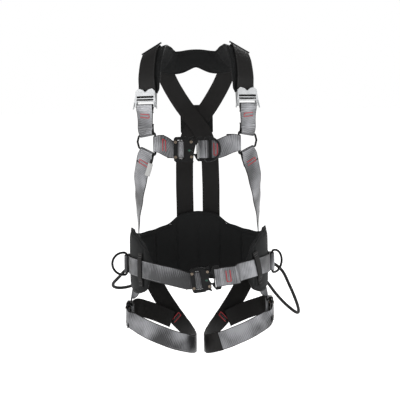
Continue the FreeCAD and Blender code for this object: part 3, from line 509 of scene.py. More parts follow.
class Nodes:
    """A node tree whose nodes all come from node()."""

    def __init__(self, tree):
        self.tree = tree

    def node(self, kind, choices, inputs, output=0):
        made = self.tree.nodes.new(kind)
        for key, value in choices.items():
            setattr(made, key, value)
        for key, value in inputs.items():
            self.feed(made.inputs[key], value)
        return Value(self, made.outputs[output])

    def rays(self, *kinds):
        """1 for a ray of one of the kinds named."""
        total = None
        for kind in kinds:
            seen = self.node("ShaderNodeLightPath", {}, {}, kind)
            total = seen if total is None else total.maths("MAXIMUM", total, seen)
        return total

    def feed(self, socket, value):
        if isinstance(value, Value):
            self.tree.links.new(value.socket, socket)
        elif hasattr(value, "__len__") and len(socket.default_value) == 4 and len(value) == 3:
            socket.default_value = (*value, 1.0)
        else:
            socket.default_value = value


class Finish(Nodes):
    """A material with one principled shader."""

    def __init__(self, name, **shader):
        self.material = bpy.data.materials.new(name)
        self.material.use_nodes = True
        super().__init__(self.material.node_tree)
        self.shader = self.tree.nodes["Principled BSDF"]
        self.set(**shader)

    def set(self, **shader):
        for key, value in shader.items():
            self.feed(self.shader.inputs[key.replace("_", " ")], value)

    def place(self, axis=None):
        spot = self.node("ShaderNodeTexCoord", {}, {}, "Object")
        return spot if axis is None else self.node("ShaderNodeSeparateXYZ", {}, {0: spot}, axis)

    def weave(self, axis):
        spot = self.node("ShaderNodeUVMap", {"uv_map": "weave"}, {})
        return self.node("ShaderNodeSeparateXYZ", {}, {0: spot}, axis)

    def noise(self, scale, detail=3.0, roughness=0.5):
        return self.node("ShaderNodeTexNoise", {}, {"Vector": self.place(), "Scale": scale,
                                                    "Detail": detail, "Roughness": roughness})

    def mix(self, share, a, b):
        return self.node("ShaderNodeMix", {"data_type": "RGBA"}, {0: share, 6: a, 7: b}, 2)

    def bump(self, height, distance, strength=1.0, normal=None):
        inputs = {"Strength": strength, "Distance": distance, "Height": height}
        if normal is not None:
            inputs["Normal"] = normal
        self.set(Normal=self.node("ShaderNodeBump", {}, inputs))

    def edges(self, radius):
        """How sharply the surface turns near a point, 0 on a flat."""
        rounded = self.node("ShaderNodeBevel", {"samples": 6}, {"Radius": radius})
        flat = self.node("ShaderNodeNewGeometry", {}, {}, "Normal")
        dot = self.node("ShaderNodeVectorMath", {"operation": "DOT_PRODUCT"}, {0: rounded, 1: flat}, "Value")
        return ((1.0 - dot) * 3.0).kept()


def tint(colour, factor):
    return tuple(min(1.0, c * factor) for c in colour)


def woven(name, colour, rib=1.5, sheen=0.1, roughness=0.4, specular=0.9, shine=0.0):
    """Woven polyester: ribs along the strap and a fine twill; with shine, ribs across and a painted sheen,
    large light and dark patches painted into the colour.
    """
    f = Finish(name, Metallic=shine, Roughness=roughness, Sheen_Weight=sheen, Sheen_Roughness=0.4,
               Specular_IOR_Level=specular)
    u, v = f.weave("X"), f.weave("Y")
    ribs = (v * (pi / (rib * MM))).sine().size()
    twill = ((u * (2 * pi / 0.0026)) + (v * (2 * pi / 0.0030))).sine() * 0.5 + 0.5
    cloud = f.noise(38.0, 4.0)
    height = ribs * 0.6 + twill * 0.4
    shade = height * 0.3 + cloud * 0.5 + 0.1
    if shine:
        patch = f.noise(120.0, 3.0)
        waves = ((u * (2 * pi / 0.0044)) + patch * 5.0).sine() * 0.5 + 0.5
        # Painted sheen: large light and dark patches in the colour that stand in for light and shade on the
        # satin webbing.
        painted_sheen = f.noise(13.0, 2.0)
        shade = height * 0.16 + waves * 0.36 + patch * 0.2 + (painted_sheen - 0.5) * 3.4
        height = height * 0.4 + waves * 1.3
    # With shine the colour reaches much brighter, so that the painted sheen can show as highlights.
    light = 3.0 if shine else 1.7
    f.set(Base_Color=f.mix(shade.kept(), tint(colour, 0.4), tint(colour, light)),
          Roughness=(cloud * 0.25 + roughness - 0.12).kept())
    f.bump(height + f.noise(900.0, 2.0) * 0.3, 0.00022, 0.8)
    return f.material


def thread(name, colour):
    f = Finish(name, Roughness=0.42, Sheen_Weight=0.3, Sheen_Roughness=0.3)
    grain = f.noise(1400.0, 2.0)
    f.set(Base_Color=f.mix(grain, tint(colour, 0.7), tint(colour, 1.2)))
    f.bump(grain, 0.0001, 0.6)
    return f.material


def pad_cloth(name, colour):
    """Tight knitted cover over foam, with fine pores and soft creases."""
    f = Finish(name, Roughness=0.72, Sheen_Weight=0.06, Sheen_Roughness=0.45, Specular_IOR_Level=0.25)
    pores = f.node("ShaderNodeTexVoronoi", {"feature": "F1"}, {"Vector": f.place(), "Scale": 520.0})
    creases = f.noise(60.0, 5.0, roughness=0.6)
    f.set(Base_Color=f.mix((creases * 0.6 + pores * 0.4).kept(), tint(colour, 0.5), tint(colour, 1.6)),
          Roughness=(creases * 0.2 + 0.62).kept())
    f.bump(pores * 0.35 + creases * 0.9, 0.0006, 0.5)
    return f.material


def coated(name, colour, roughness=0.34, edge=0.0007):
    """Satin black coating with fine grain; its corners are painted paler, partly as wear and partly as a
    painted highlight where the edges catch the light.
    """
    f = Finish(name, Roughness=roughness, Specular_IOR_Level=0.24)
    corner_mask = f.edges(edge)
    grain = f.noise(700.0, 3.0)
    smudge = f.noise(45.0, 4.0)
    wear_and_glint = (corner_mask * (smudge * 0.9 + 0.1)).kept()
    # Paler colour on sharp corners: partly wear, partly a painted highlight on the edges.
    f.set(Base_Color=f.mix(wear_and_glint * 0.3, colour, (0.11, 0.11, 0.115)),
          Roughness=(smudge * 0.16 + roughness - 0.06).kept())
    f.bump(grain, 0.00006, 0.5, f.node("ShaderNodeBevel", {"samples": 6}, {"Radius": edge}))
    return f.material


def brushed(name, colour, roughness=0.28, edge=0.0006):
    """Bare metal with fine brushing across, small scratches and brighter corners."""
    f = Finish(name, Metallic=1.0, Roughness=roughness)
    spot = f.node("ShaderNodeMapping", {}, {"Vector": f.place(), "Scale": (40.0, 900.0, 900.0)})
    lines = f.node("ShaderNodeTexNoise", {}, {"Vector": spot, "Scale": 1.0, "Detail": 4.0})
    cloud = f.noise(60.0, 4.0)
    f.set(Base_Color=f.mix((cloud * 0.8 + lines * 0.2).kept(), tint(colour, 0.72), tint(colour, 1.15)),
          Roughness=(lines * 0.22 + roughness - 0.08).kept())
    f.bump(lines, 0.00005, 0.35, f.node("ShaderNodeBevel", {"samples": 6}, {"Radius": edge}))
    return f.material


def sleeve(name, colour):
    """Braided sleeve: two crossing sets of yarn."""
    f = Finish(name, Roughness=0.55, Sheen_Weight=0.05, Specular_IOR_Level=0.3)
    x, y, z = f.place("X"), f.place("Y"), f.place("Z")
    one = ((x + y + z) * (2 * pi / 0.0034)).sine()
    two = ((x - y - z) * (2 * pi / 0.0034)).sine()
    braid = one * two * 0.5 + 0.5
    f.set(Base_Color=f.mix(braid.kept(), tint(colour, 0.6), tint(colour, 1.7)))
    f.bump(braid, 0.0003, 0.7)
    return f.material


def enamel(name, colour):
    f = Finish(name, Roughness=0.25, Coat_Weight=0.4)
    f.set(Base_Color=f.mix(f.noise(300.0), tint(colour, 0.8), tint(colour, 1.25)))
    return f.material


def tag_film(name):
    f = Finish(name, Roughness=0.5)
    f.set(Base_Color=f.mix(f.noise(120.0), (0.60, 0.60, 0.59), (0.74, 0.74, 0.73)))
    f.bump(f.noise(90.0), 0.0005, 0.4)
    return f.material


def finishes():
    """Every finish by name, made once."""
    web, pads, metal, _ = settings()
    made = bpy.data.materials
    if "grey_face" not in made:
        woven("grey_face", tuple(web.grey), shine=0.6)
        woven("black_face", tuple(web.black), rib=1.7, sheen=0.02, roughness=0.55, specular=0.22)
        woven("dark_edge", tint(tuple(web.black), 0.9), rib=0.8, sheen=0.02, roughness=0.55, specular=0.2)
        thread("tack_thread", tuple(web.thread))
        thread("seam_thread", (0.34, 0.34, 0.35))
        thread("dark_thread", (0.03, 0.03, 0.03))
        pad_cloth("pad_cover", tuple(pads.cloth))
        coated("piping_cover", tint(tuple(pads.cloth), 0.9), 0.5, 0.0004)
        coated("black_coating", tuple(metal.black))
        brushed("bare_metal", tuple(metal.bright), 0.36, 0.0011)
        brushed("rivet_metal", tuple(metal.bronze), 0.3, 0.0003)
        brushed("spring_wire", (0.55, 0.55, 0.56), 0.3, 0.0002)
        sleeve("cord_sleeve", (0.012, 0.012, 0.0125))
        enamel("indicator_green", tuple(metal.window))
        tag_film("tag_white")
    return made


# ---------------------------------------------------------------- strap routes

BELT_SIDE = [(58, -121.5, -548), (98, -109, -540), (133, -85, -534), (158, -55, -531), (173, -20, -530)]
BELT_HIP = [(175.5, 15, -530), (173, 50, -530), (157, 84, -530)]
BELT_BACK = [(128, 108, -530), (88, 125, -530), (42, 134, -530), (0, 136, -530)]
BELT_LAP = WEB_T + WEB_GAP
SHOULDER_FRONT = [(119, -97, -66), (116, -72, -28), (111, -38, -4), (107, 0, 3)]
SHOULDER_BACK = [(99, 42, -9), (84, 80, -42), (62, 109, -90), (36, 124.5, -134), (12, 126, -168)]
BACK_LOWER = [(-12, 126, -202), (-30, 125.5, -255), (-34, 121, -330), (-34, 136.0, -402), (-34, 136, -500)]
SIDE_UPPER = [(138, -78, -305), (144, -54, -355), (148.3, -32, -405), (148.8, -12, -450)]
SIDE_LOWER = [(151.8, 14, -550), (152.2, 22, -589), (156, 28, -598), (163, 34, -604.5), (172.4, 41, -615),
              (172.4, 43, -670)]
LEG_FRONT = [(163, -83, -661), (143, -99, -670), (120, -110, -680), (92, -111, -692), (62, -104, -705),
             (36, -88, -715)]
CROTCH = [(19, -60, -724), (11, -25, -730), (11, 12, -731), (20, 46, -724), (38, 74, -708)]
SEAT = [(60, 96, -686), (84, 112, -656), (106, 122, -622), (122, 132, -590), (127, 128.5, -555)]
THIGH = [(160, 90, -656), (140, 101, -664), (116, 105, -673), (92, 103, -683), (72, 97, -691)]
LINK_NARROW = (38.0, 12.0)
HOUSING_NARROW = (41.5, 30.0)
LINK_EYE = (2.5, 2.5)


def chest_left():
    near, height = 9.0 / 2 + SLACK + WEB_T / 2, 3.0 / 2 + SLACK + WEB_T / 2
    back = -height
    over = back + 6.0 + 2 * SLACK + WEB_T
    path = [(40, back), (-near + BEND_CUT, back), (-near, back + BEND_CUT), (-near, height - BEND_CUT),
            (-near + BEND_CUT, height), (near - 1, height), (7.8, over), (11.8, over),
            (18, back + WEB_T + 0.5), (28, back + WEB_T + FOLD_GAP), (40, back + WEB_T + FOLD_GAP)]
    end = threaded(link_bar(1, 4, 0), eye(*LINK_EYE, tail=14, front=False, tuck=2.5), narrow=LINK_NARROW)
    return threaded(tongue_frame(CHEST), path) + backwards(end)


def chest_right():
    end = threaded(link_bar(-1, 4, 0), eye(*LINK_EYE, tail=6, front=False, tuck=2.0), narrow=LINK_NARROW)
    return end + threaded(CHEST, housing_thread(HOUSING_TAIL), narrow=HOUSING_NARROW)


def belt_long():
    right = mirrored(BELT_SIDE + BELT_HIP + BELT_BACK, -1)
    round_back = backwards(route(right + backwards(BELT_HIP + BELT_BACK[:-1]), outward))
    return round_back + threaded(WAIST, housing_thread(HOUSING_TAIL), narrow=HOUSING_NARROW)


def belt_short():
    hip = [(x + BELT_LAP, y, z) for x, y, z in BELT_HIP[:2]]
    side = BELT_SIDE[1:-1] + [(BELT_SIDE[-1][0] + BELT_LAP, *BELT_SIDE[-1][1:])]
    return threaded(tongue_frame(WAIST), eye(4.5, 1.5, lean=-4)) + route(side + hip, outward)


def front(side):
    f = adjuster_frame(side)
    top = threaded(Frame(f.point(17.5), f.x, f.z), eye(2.5, 1.25, tail=3, front=False, tuck=2.5))
    low = threaded(link_bar(side, 0, 1), eye(*LINK_EYE, tail=3, front=False, tuck=3.0), narrow=LINK_NARROW)
    return top + backwards(low)


def shoulder(side):
    f = adjuster_frame(side)
    bar = Frame(f.point(-2, 0, -(1.25 + 2.5 + WEB_T + SLACK + 0.6)), -f.x, f.z)
    points = mirrored(SHOULDER_FRONT + SHOULDER_BACK, side) + mirrored(BACK_LOWER, side)
    layer = side * (WEB_T / 2 + 0.6)
    points = [(x, y + (layer if y > 90 and z > -300 else 0), z) for x, y, z in points]
    return threaded(bar, eye(2.5, 2.5, tail=12)) + route(points, outward)


def flank(side):
    body = []
    for i, xyz in enumerate(mirrored(SIDE_UPPER + SIDE_LOWER, side)):
        turn = min(1.0, i / len(SIDE_UPPER))
        body.append(Station(V(*xyz), unit(outward(V(*xyz)) * (1 - turn) + V(side) * turn), WEB_W))
    end = threaded(link_bar(side, 3, 4), eye(*LINK_EYE, tail=16, front=False, tuck=2.0), narrow=LINK_NARROW)
    return end + body


def leg(side):
    start = threaded(tongue_frame(LEGS[side]), eye(4.5, 1.5, lean=-2, tail=10))
    return start + route(mirrored(LEG_FRONT + CROTCH + SEAT, side), outward_from_thigh(side))


def thigh(side):
    first = LEGS[side].point(-68, 0, -HOUSING_HALF_T - WEB_GAP - WEB_T / 2)
    stations = route([tuple(first)] + mirrored(THIGH, side), outward_from_thigh(side))
    stations[0].n = LEGS[side].z
    return backwards(stations) + threaded(LEGS[side], housing_thread(HOUSING_TAIL), narrow=HOUSING_NARROW)


def ring_tie(side):
    lap = BELT_LAP if side > 0 else 0.0
    f = Frame((side * (175.5 + 6.5 + lap), 4, -530), (0, 1, 0), (side, 0, 0))
    return threaded(f, eye(3, 3, lean=-3.4, tail=8))


def pad_loop(side):
    a, b = (V(*p) for p in mirrored(BELT_SIDE[2:4], side))
    out = unit((b - a).cross(V(0, 0, 1)) * side)
    top, bottom, width = {1: (0.15, 0.75, 18.0), -1: (0.42, 0.42, 16.0)}[side]
    heights = [(38.5, 0.3), (29.5, 0.3), (25, 2.4), (-25, 2.4), (-29.5, 0.3), (-44.5, 0.3)]
    stations = []
    for dz, lift in heights:
        share = top + (bottom - top) * (38.5 - dz) / 83
        p = a.lerp(b, share)
        stations.append(Station(V(p.x, p.y, (a.z + b.z) / 2 + dz) + out * lift, out, width, 1.6))
    return stations


def sew(name, stitching, body, blend=None):
    made = finishes()
    piece = stitching.build(name, [made["tack_thread"], made["seam_thread"], made["dark_thread"]])
    return settle(piece, body, blend)


def settle(piece, body, blend=None, replaces=()):
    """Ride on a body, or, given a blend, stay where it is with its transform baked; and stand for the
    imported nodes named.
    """
    if blend:
        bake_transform(piece)
    else:
        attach(piece, body)
    if replaces:
        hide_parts(*replaces)
    return piece


def grey(name, stations, blend=None, replaces=(), spacing=3.5):
    made = finishes()
    strap = Strap(stations, spacing)
    piece = strap.build(name, made["grey_face"], made["black_face"], made["dark_edge"])
    settle(piece, "harness", blend, replaces)
    return strap


def black(name, stations, replaces=(), spacing=3.5):
    made = finishes()
    strap = Strap(stations, spacing)
    piece = strap.build(name, made["black_face"], made["black_face"], made["dark_edge"])
    settle(piece, "harness", None, replaces)
    return strap


class HARNESS_OT_chest_straps(bpy.types.Operator):
    """Make both halves of the chest strap with their tacks"""
    bl_idname = "harness.chest_straps"
    bl_label = "Chest straps"

    def execute(self, context):
        blend = (("chest_tongue", "harness"), (0.040, -0.131, -0.239), (0.088, -0.118, -0.239))
        strap = grey("chest_strap_tongue_side", chest_left(), blend, ("chest_strap_left",), 2.5)
        sewn = Stitching()
        sewn.tack(strap, strap.near(45, -133, -237), shut=-1, length=29, gap=8, bars=V(0, 0, 1))
        sewn.running(strap, strap.near(66, -128, -235), strap.length - 34, 19.0)
        sew("chest_strap_tongue_side_stitching", sewn, None, blend)
        strap = grey("chest_strap_housing_side", chest_right(), None, ("chest_strap_right",), 2.5)
        sewn = Stitching()
        sewn.tack(strap, strap.near(-80, -126, -233), shut=1, length=29, gap=8, bars=V(0, 0, 1))
        sew("chest_strap_housing_side_stitching", sewn, "harness")
        return {"FINISHED"}


class HARNESS_OT_waist_belt(bpy.types.Operator):
    """Make the two parts of the waist belt, the ties of its rings and the loops on the pad"""
    bl_idname = "harness.waist_belt"
    bl_label = "Waist belt"

    def execute(self, context):
        blend = (("waist_tongue", "harness"), (0.062, -0.130, -0.546), (0.115, -0.100, -0.537))
        strap = grey("belt_tongue_side", belt_short(), blend, ("waist_belt_tongue_side",))
        sewn = Stitching()
        sewn.tack(strap, strap.near(72, -121, -543), shut=1, length=27)
        sew("belt_tongue_side_stitching", sewn, None, blend)
        strap = grey("belt_round_back", belt_long(), None, ("waist_belt",))
        sewn = Stitching()
        for x in (-60, 60):
            sewn.tack(strap, strap.near(x, 133, -530))
        sewn.running(strap, 20, strap.length - 160, 19.5)
        sewn.running(strap, 20, strap.length - 160, -19.5)
        sew("belt_round_back_stitching", sewn, "harness")
        for side, word in SIDES.items():
            node = ("belt_ring_loops",) if side > 0 else ()
            strap = grey(f"ring_tie_{word}", ring_tie(side), None, node, 1.5)
            sewn = Stitching()
            sewn.tack(strap, -5.0, length=24, gap=4)
            sew(f"ring_tie_{word}_stitching", sewn, "harness")
            node = ("waist_pad_belt_loops",) if side > 0 else ()
            strap = black(f"pad_loop_{word}", pad_loop(side), node, 2.0)
            sewn = Stitching()
            for s in (5, 11, strap.length - 13, strap.length - 4):
                row = strap.spot(s)
                edge = row.side * 6.5
                lift = row.n * 1.3
                sewn.ridge(row.p - edge + lift, row.p + edge + lift, row.n, 1.4, 0.5, 0.9, 2)
            sew(f"pad_loop_{word}_stitching", sewn, "harness", None)
        return {"FINISHED"}


class HARNESS_OT_shoulder_straps(bpy.types.Operator):
    """Make the grey front straps and the black straps that cross on the back"""
    bl_idname = "harness.shoulder_straps"
    bl_label = "Shoulder straps"

    def execute(self, context):
        for side, word in SIDES.items():
            strap = grey(f"front_webbing_{word}", front(side), None, (f"front_strap_{word}",), 2.0)
            sewn = Stitching()
            mid = (adjuster_frame(side).point(44) + V(0, -4, 0))
            sewn.tack(strap, strap.near(*mid), length=26, gap=9, shut=1, bars=V(-side, 0, 0.18))
            sew(f"front_webbing_{word}_stitching", sewn, "harness")
            strap = black(f"shoulder_webbing_{word}", shoulder(side), (f"shoulder_strap_{word}",))
            sewn = Stitching()
            for s in (-24, -44):
                sewn.tack(strap, s)
            sewn.running(strap, 60, strap.length - 60, 20.0, kind=2)
            sewn.running(strap, 60, strap.length - 60, -20.0, kind=2)
            sew(f"shoulder_webbing_{word}_stitching", sewn, "harness", None)
        return {"FINISHED"}


class HARNESS_OT_side_straps(bpy.types.Operator):
    """Make the straps from the torso links down the sides to the thigh straps"""
    bl_idname = "harness.side_straps"
    bl_label = "Side straps"

    def execute(self, context):
        for side, word in SIDES.items():
            strap = grey(f"side_webbing_{word}", flank(side), None, (f"side_strap_{word}",))
            sewn = Stitching()
            sewn.tack(strap, strap.near(side * 126, -97, -274), length=26, gap=9, shut=-side)
            sewn.tack(strap, strap.near(side * 148, -36, -396), length=26, gap=9, face=-1)
            sewn.tack(strap, -30, length=26, gap=9)
            sew(f"side_webbing_{word}_stitching", sewn, "harness")
        return {"FINISHED"}


class HARNESS_OT_leg_straps(bpy.types.Operator):
    """Make the leg straps, which start at their buckle tongues, and the thigh straps behind"""
    bl_idname = "harness.leg_straps"
    bl_label = "Leg straps"

    def execute(self, context):
        for side, word in SIDES.items():
            z = LEGS[side].origin.z * MM
            start, end = (side * 0.178, -0.062, z), (side * 0.125, -0.112, z - 0.03)
            blend = ((f"leg_{word}_tongue", "harness"), start, end)
            strap = grey(f"leg_webbing_{word}", leg(side), blend, (f"leg_strap_{word}",))
            sewn = Stitching()
            for face in (1, -1):
                sewn.tack(strap, strap.near(side * 60, 96, -686), shut=side, face=face)
            sewn.tack(strap, -22)
            sewn.running(strap, 200, 330, 19.0)
            sewn.running(strap, 200, 330, -19.0)
            sew(f"leg_webbing_{word}_stitching", sewn, None, blend)
            if side > 0:
                first, last = strap.near(50, -99, -706), strap.near(13, -38, -727)
                cover = [strap.spot(first + (last - first) * k / 8) for k in range(9)]
                for row in cover:
                    row.width, row.thick = row.width + 2.4, row.thick + 1.6
                black("leg_strap_sleeve", cover)
            strap = grey(f"thigh_webbing_{word}", thigh(side), None, (f"thigh_strap_{word}",))
            sewn = Stitching()
            sewn.tack(strap, 16)
            sewn.tack(strap, strap.near(side * 168, 66, -652), face=1)
            sew(f"thigh_webbing_{word}_stitching", sewn, "harness")
        return {"FINISHED"}


# ---------------------------------------------------------------- pads

YOKE_FRONT = [(116, -103.5, -119), (119, -102.5, -94)]
YOKE_WIDTHS = [44, 58, 62, 66, 68, 72, 84]
YOKE_NECK = [(52, 80, -30, 60), (0, 85, -18, 48)]
YOKE_DEPTH = WEB_T / 2 + WEB_GAP + 5.5 + 1.2
YOKE_T = 11.0
PAD_EDGES = [(114, -98, -505, -558), (133, -85, -472, -590), (158, -55, -446, -600), (173, -20, -434, -598),
             (175.5, 15, -440, -590), (173, 50, -454, -586), (157, 84, -462, -588), (128, 108, -456, -590),
             (88, 125, -444, -592), (42, 134, -414, -592), (0, 136, -408, -592)]
BELT_Z = -530
PAD_T = 14.0
PAD_DEPTH = WEB_T / 2 + 0.6 + PAD_T / 2
PIPING_OUT = 0.9
PIPING_ROUNDS = 5


def both_ways(half):
    """A row of stations mirrored about the middle one, which comes last."""
    other = []
    for s in half[:-1]:
        other.append(Station(V(-s.p.x, s.p.y, s.p.z), V(-s.n.x, s.n.y, s.n.z), s.width, s.thick, s.rise))
    return half + backwards(other)


def yoke_stations():
    arm = []
    for (x, y, z), width in zip(YOKE_FRONT + SHOULDER_FRONT + SHOULDER_BACK[:1], YOKE_WIDTHS):
        n = outward(V(x, y, z))
        arm.append(Station(V(x - 4, y, z) - n * YOKE_DEPTH, n, width, YOKE_T))
    for x, y, z, width in YOKE_NECK:
        arm.append(Station(V(x, y, z), unit(V(x / 166**2, y / 115**2, 0.0012)), width, YOKE_T))
    return both_ways(arm)


def pad_stations():
    half = []
    for x, y, top, bottom in PAD_EDGES:
        p = V(x, y, BELT_Z)
        middle = (top + bottom) / 2 - BELT_Z
        half.append(Station(p - outward(p) * PAD_DEPTH, outward(p), top - bottom, PAD_T, middle))
    return both_ways(half)


class Pad:
    """Foam pad: a rounded slab along its rows, inflated in its cover, then sewn through."""

    def __init__(self, stations, spacing=4.0, shrink=2.4):
        self.rows = smooth(stations, spacing)
        self.length = self.rows[-1].s
        self.shrink = shrink
        self.guide = []

    def centre(self, row, a):
        rise = row.rise if row.side.z > 0 else -row.rise
        return row.p + row.side * (a + rise)

    def ends(self, row):
        """How far the slab has rounded off at its two ends, from 0 to 1."""
        reach = min(row.s, self.length - row.s) / 24.0
        return sqrt(max(0.0, 1 - (1 - min(1.0, reach))**2))

    def cover(self, name):
        verts, faces = [], []
        steps = 14
        for row in self.rows:
            taper = max(0.12, self.ends(row))
            half, t = row.width / 2 * (0.62 + 0.38 * taper) - self.shrink * 0.5, row.thick / 2 - self.shrink
            flat = half - t
            ring = [(-flat + 2 * flat * k / steps, t) for k in range(steps + 1)]
            ring += [(flat + t * sin(a), t * cos(a)) for a in (pi / 5, 2 * pi / 5, 3 * pi / 5, 4 * pi / 5)]
            ring += [(flat - 2 * flat * k / steps, -t) for k in range(steps + 1)]
            ring += [(-flat - t * sin(a), -t * cos(a)) for a in (pi / 5, 2 * pi / 5, 3 * pi / 5, 4 * pi / 5)]
            for a, h in ring:
                p = self.centre(row, a) + row.n * h * max(0.6, taper)
                verts.append(p)
                self.guide.append((p, row.s, a, h / t, row.width / 2, row.n))
        size = len(ring)
        for i in range(len(self.rows) - 1):
            for j in range(size):
                k = (j + 1) % size
                faces.append((i * size + j, i * size + k, (i + 1) * size + k, (i + 1) * size + j))
        faces += [tuple(range(size)), tuple((len(self.rows) - 1) * size + j for j in reversed(range(size)))]
        return recalculated(make_piece(name, verts, faces, None, (finishes()["pad_cover"],)))

    def sew_through(self, piece, lines, depth, breadth, relief=None):
        """Press grooves into the cover where lines(s, a, half) gives the distance to a seam."""
        tree = KDTree(len(self.guide))
        for i, g in enumerate(self.guide):
            tree.insert(g[0] * MM, i)
        tree.balance()
        for v in piece.data.vertices:
            near = tree.find_n(v.co, 4)
            share = [1.0 / (d + 1e-5) for _, _, d in near]
            total = sum(share)
            pairs = [(w, self.guide[i]) for w, (_, i, _) in zip(share, near)]
            s, a, h, half = (sum(w * g[k] for w, g in pairs) / total for k in (1, 2, 3, 4))
            n = self.guide[near[0][1]][5]
            side = max(-1.0, min(1.0, h * 1.6))
            gap = lines(s, a, half)
            move = -depth * pow(2.718, -(gap / breadth)**2)
            if relief:
                move += relief(s, a, half, side)
            v.co += n * (side * move * MM)
        piece.data.update()

    def edge(self, top):
        """Line of the cover's edge seam, in millimetres."""
        inset = self.shrink * 0.5 + 1.3
        points = []
        for row in self.rows[2:-2]:
            taper = max(0.12, self.ends(row))
            half = row.width / 2 * (0.62 + 0.38 * taper) - inset
            points.append(self.centre(row, half if top else -half))
        return points

    def rim(self):
        return self.edge(True) + backwards(self.edge(False))


def inflated(piece, voxel, swell):
    """The piece's mesh blown up a little by cloth simulation, each point moving no further than swell."""
    scene = bpy.context.scene
    remesh = piece.modifiers.new("cover", "REMESH")
    remesh.mode = "VOXEL"
    remesh.voxel_size = voxel
    bake_down(piece)
    start = [v.co.copy() for v in piece.data.vertices]
    cloth = piece.modifiers.new("air", "CLOTH")
    cloth.settings.quality = 4
    cloth.settings.use_pressure = True
    cloth.settings.uniform_pressure_force = 4.0
    cloth.settings.effector_weights.gravity = 0.0
    cloth.point_cache.frame_start, cloth.point_cache.frame_end = 1, 20
    for f in range(1, 21):
        scene.frame_set(f)
    bake_down(piece)
    scene.frame_set(1)
    for v, was in zip(piece.data.vertices, start):
        move = v.co - was
        if move.length > swell:
            v.co = was + move.normalized() * swell
    fine = piece.modifiers.new("fine", "SUBSURF")
    fine.levels = fine.render_levels = 1
    bake_down(piece)
    piece.data.polygons.foreach_set("use_smooth", [True] * len(piece.data.polygons))
    return piece


def bake_down(piece):
    """Apply the piece's modifiers to its mesh."""
    graph = bpy.context.evaluated_depsgraph_get()
    old = piece.data
    made = bpy.data.meshes.new_from_object(piece.evaluated_get(graph))
    piece.modifiers.clear()
    piece.data = made
    made.name = piece.name
    if not made.materials:
        made.materials.append(old.materials[0])
    bpy.data.meshes.remove(old)


def hugging(points, piece):
    """The points moved to the nearest surface of the piece and a little out from it."""
    placed = []
    for p in points:
        _, spot, normal, _ = piece.closest_point_on_mesh(p * MM)
        placed.append(V(*spot) / MM + V(*normal) * PIPING_OUT)
    return placed


def rounded(points):
    for _ in range(PIPING_ROUNDS):
        after = points[1:] + points[:1]
        points = [p * 0.5 + (points[i - 1] + after[i]) * 0.25 for i, p in enumerate(points)]
    return points


def piping(name, pad, piece):
    """Sewn piping round the rim of a pad."""
    points = rounded(hugging(pad.rim(), piece))
    rim = tube(name, points, settings()[1].piping / MM, finishes()["piping_cover"])
    settle(rim, "harness", None)


class HARNESS_OT_shoulder_pad(bpy.types.Operator):
    """Make the padded shoulder yoke with its piping and seams"""
    bl_idname = "harness.shoulder_pad"
    bl_label = "Shoulder pad"

    def execute(self, context):
        _, pads, _, _ = settings()
        pad = Pad(yoke_stations(), 4.0, 2.0)
        piece = inflated(pad.cover("shoulder_yoke"), pads.voxel, pads.swell * 0.7)

        def seams(s, a, half):
            return min(abs(abs(a) - (half - 9)), abs(a) + (0 if abs(s - pad.length / 2) > 60 else 50))
        pad.sew_through(piece, seams, 1.1, 1.8)
        settle(piece, "harness", None, ("shoulder_yoke_pad",))
        piping("shoulder_yoke_piping", pad, piece)
        return {"FINISHED"}


class HARNESS_OT_waist_pad(bpy.types.Operator):
    """Make the moulded back pad of the waist belt with its raised panels and piping"""
    bl_idname = "harness.waist_pad"
    bl_label = "Waist pad"

    def execute(self, context):
        _, pads, _, _ = settings()
        pad = Pad(pad_stations(), 4.5, 2.6)
        piece = inflated(pad.cover("waist_back_pad"), pads.voxel, pads.swell)
        middle = pad.length / 2
        posts = [middle + k for k in (-330, -250, -180, -118, -58, 0, 58, 118, 180, 250, 330)]

        def seams(s, a, half):
            border = abs(abs(a) - (half - 13))
            if abs(a) > half - 13:
                return border
            return min(border, min(abs(s - p) for p in posts))

        def panel(s, a, half, side):
            inside = half - 13 - abs(a)
            raised = max(0.0, min(1.0, inside / 3.0))
            return (0.9 if side < 0 else 0.0) * raised * min(1.0, abs(side))
        pad.sew_through(piece, seams, 2.2, 2.2, panel)
        settle(piece, "harness", None, ("waist_pad",))
        piping("waist_back_pad_piping", pad, piece)
        return {"FINISHED"}


# ---------------------------------------------------------------- cords, tag and marks

GEAR_ROUTES = {
    "left": (0.402, [
        (171, 59.1, -538), (184, 65.2, -541), (201.5, 70.1, -550.5), (217.1, 69.2, -567.6),
        (227.1, 60.9, -591.4), (237.7, 48.2, -615.3), (248, 49.1, -642.3), (255, 64.8, -665.7),
        (255.2, 92.6, -679.9), (245.8, 123.9, -678.8), (223.2, 148.5, -661.8), (198.5, 152.3, -633.5),
        (180.2, 135.9, -605.3), (167.7, 117.1, -590.7), (157.8, 102.2, -584), (149.3, 91.9, -581)]),
    "right": (0.236, [
        (-164.6, 72.7, -545), (-176.4, 78.2, -549), (-191.6, 81.2, -557.9), (-209.2, 80.7, -577.7),
        (-224.7, 95.6, -593.2), (-225.4, 118.2, -606.2), (-211.6, 137.3, -613.2), (-188.8, 146.2, -612.2),
        (-166.7, 142, -603.6), (-153.5, 127, -590.5), (-146.7, 109.4, -584.2), (-138.3, 99.3, -581.4)]),
}


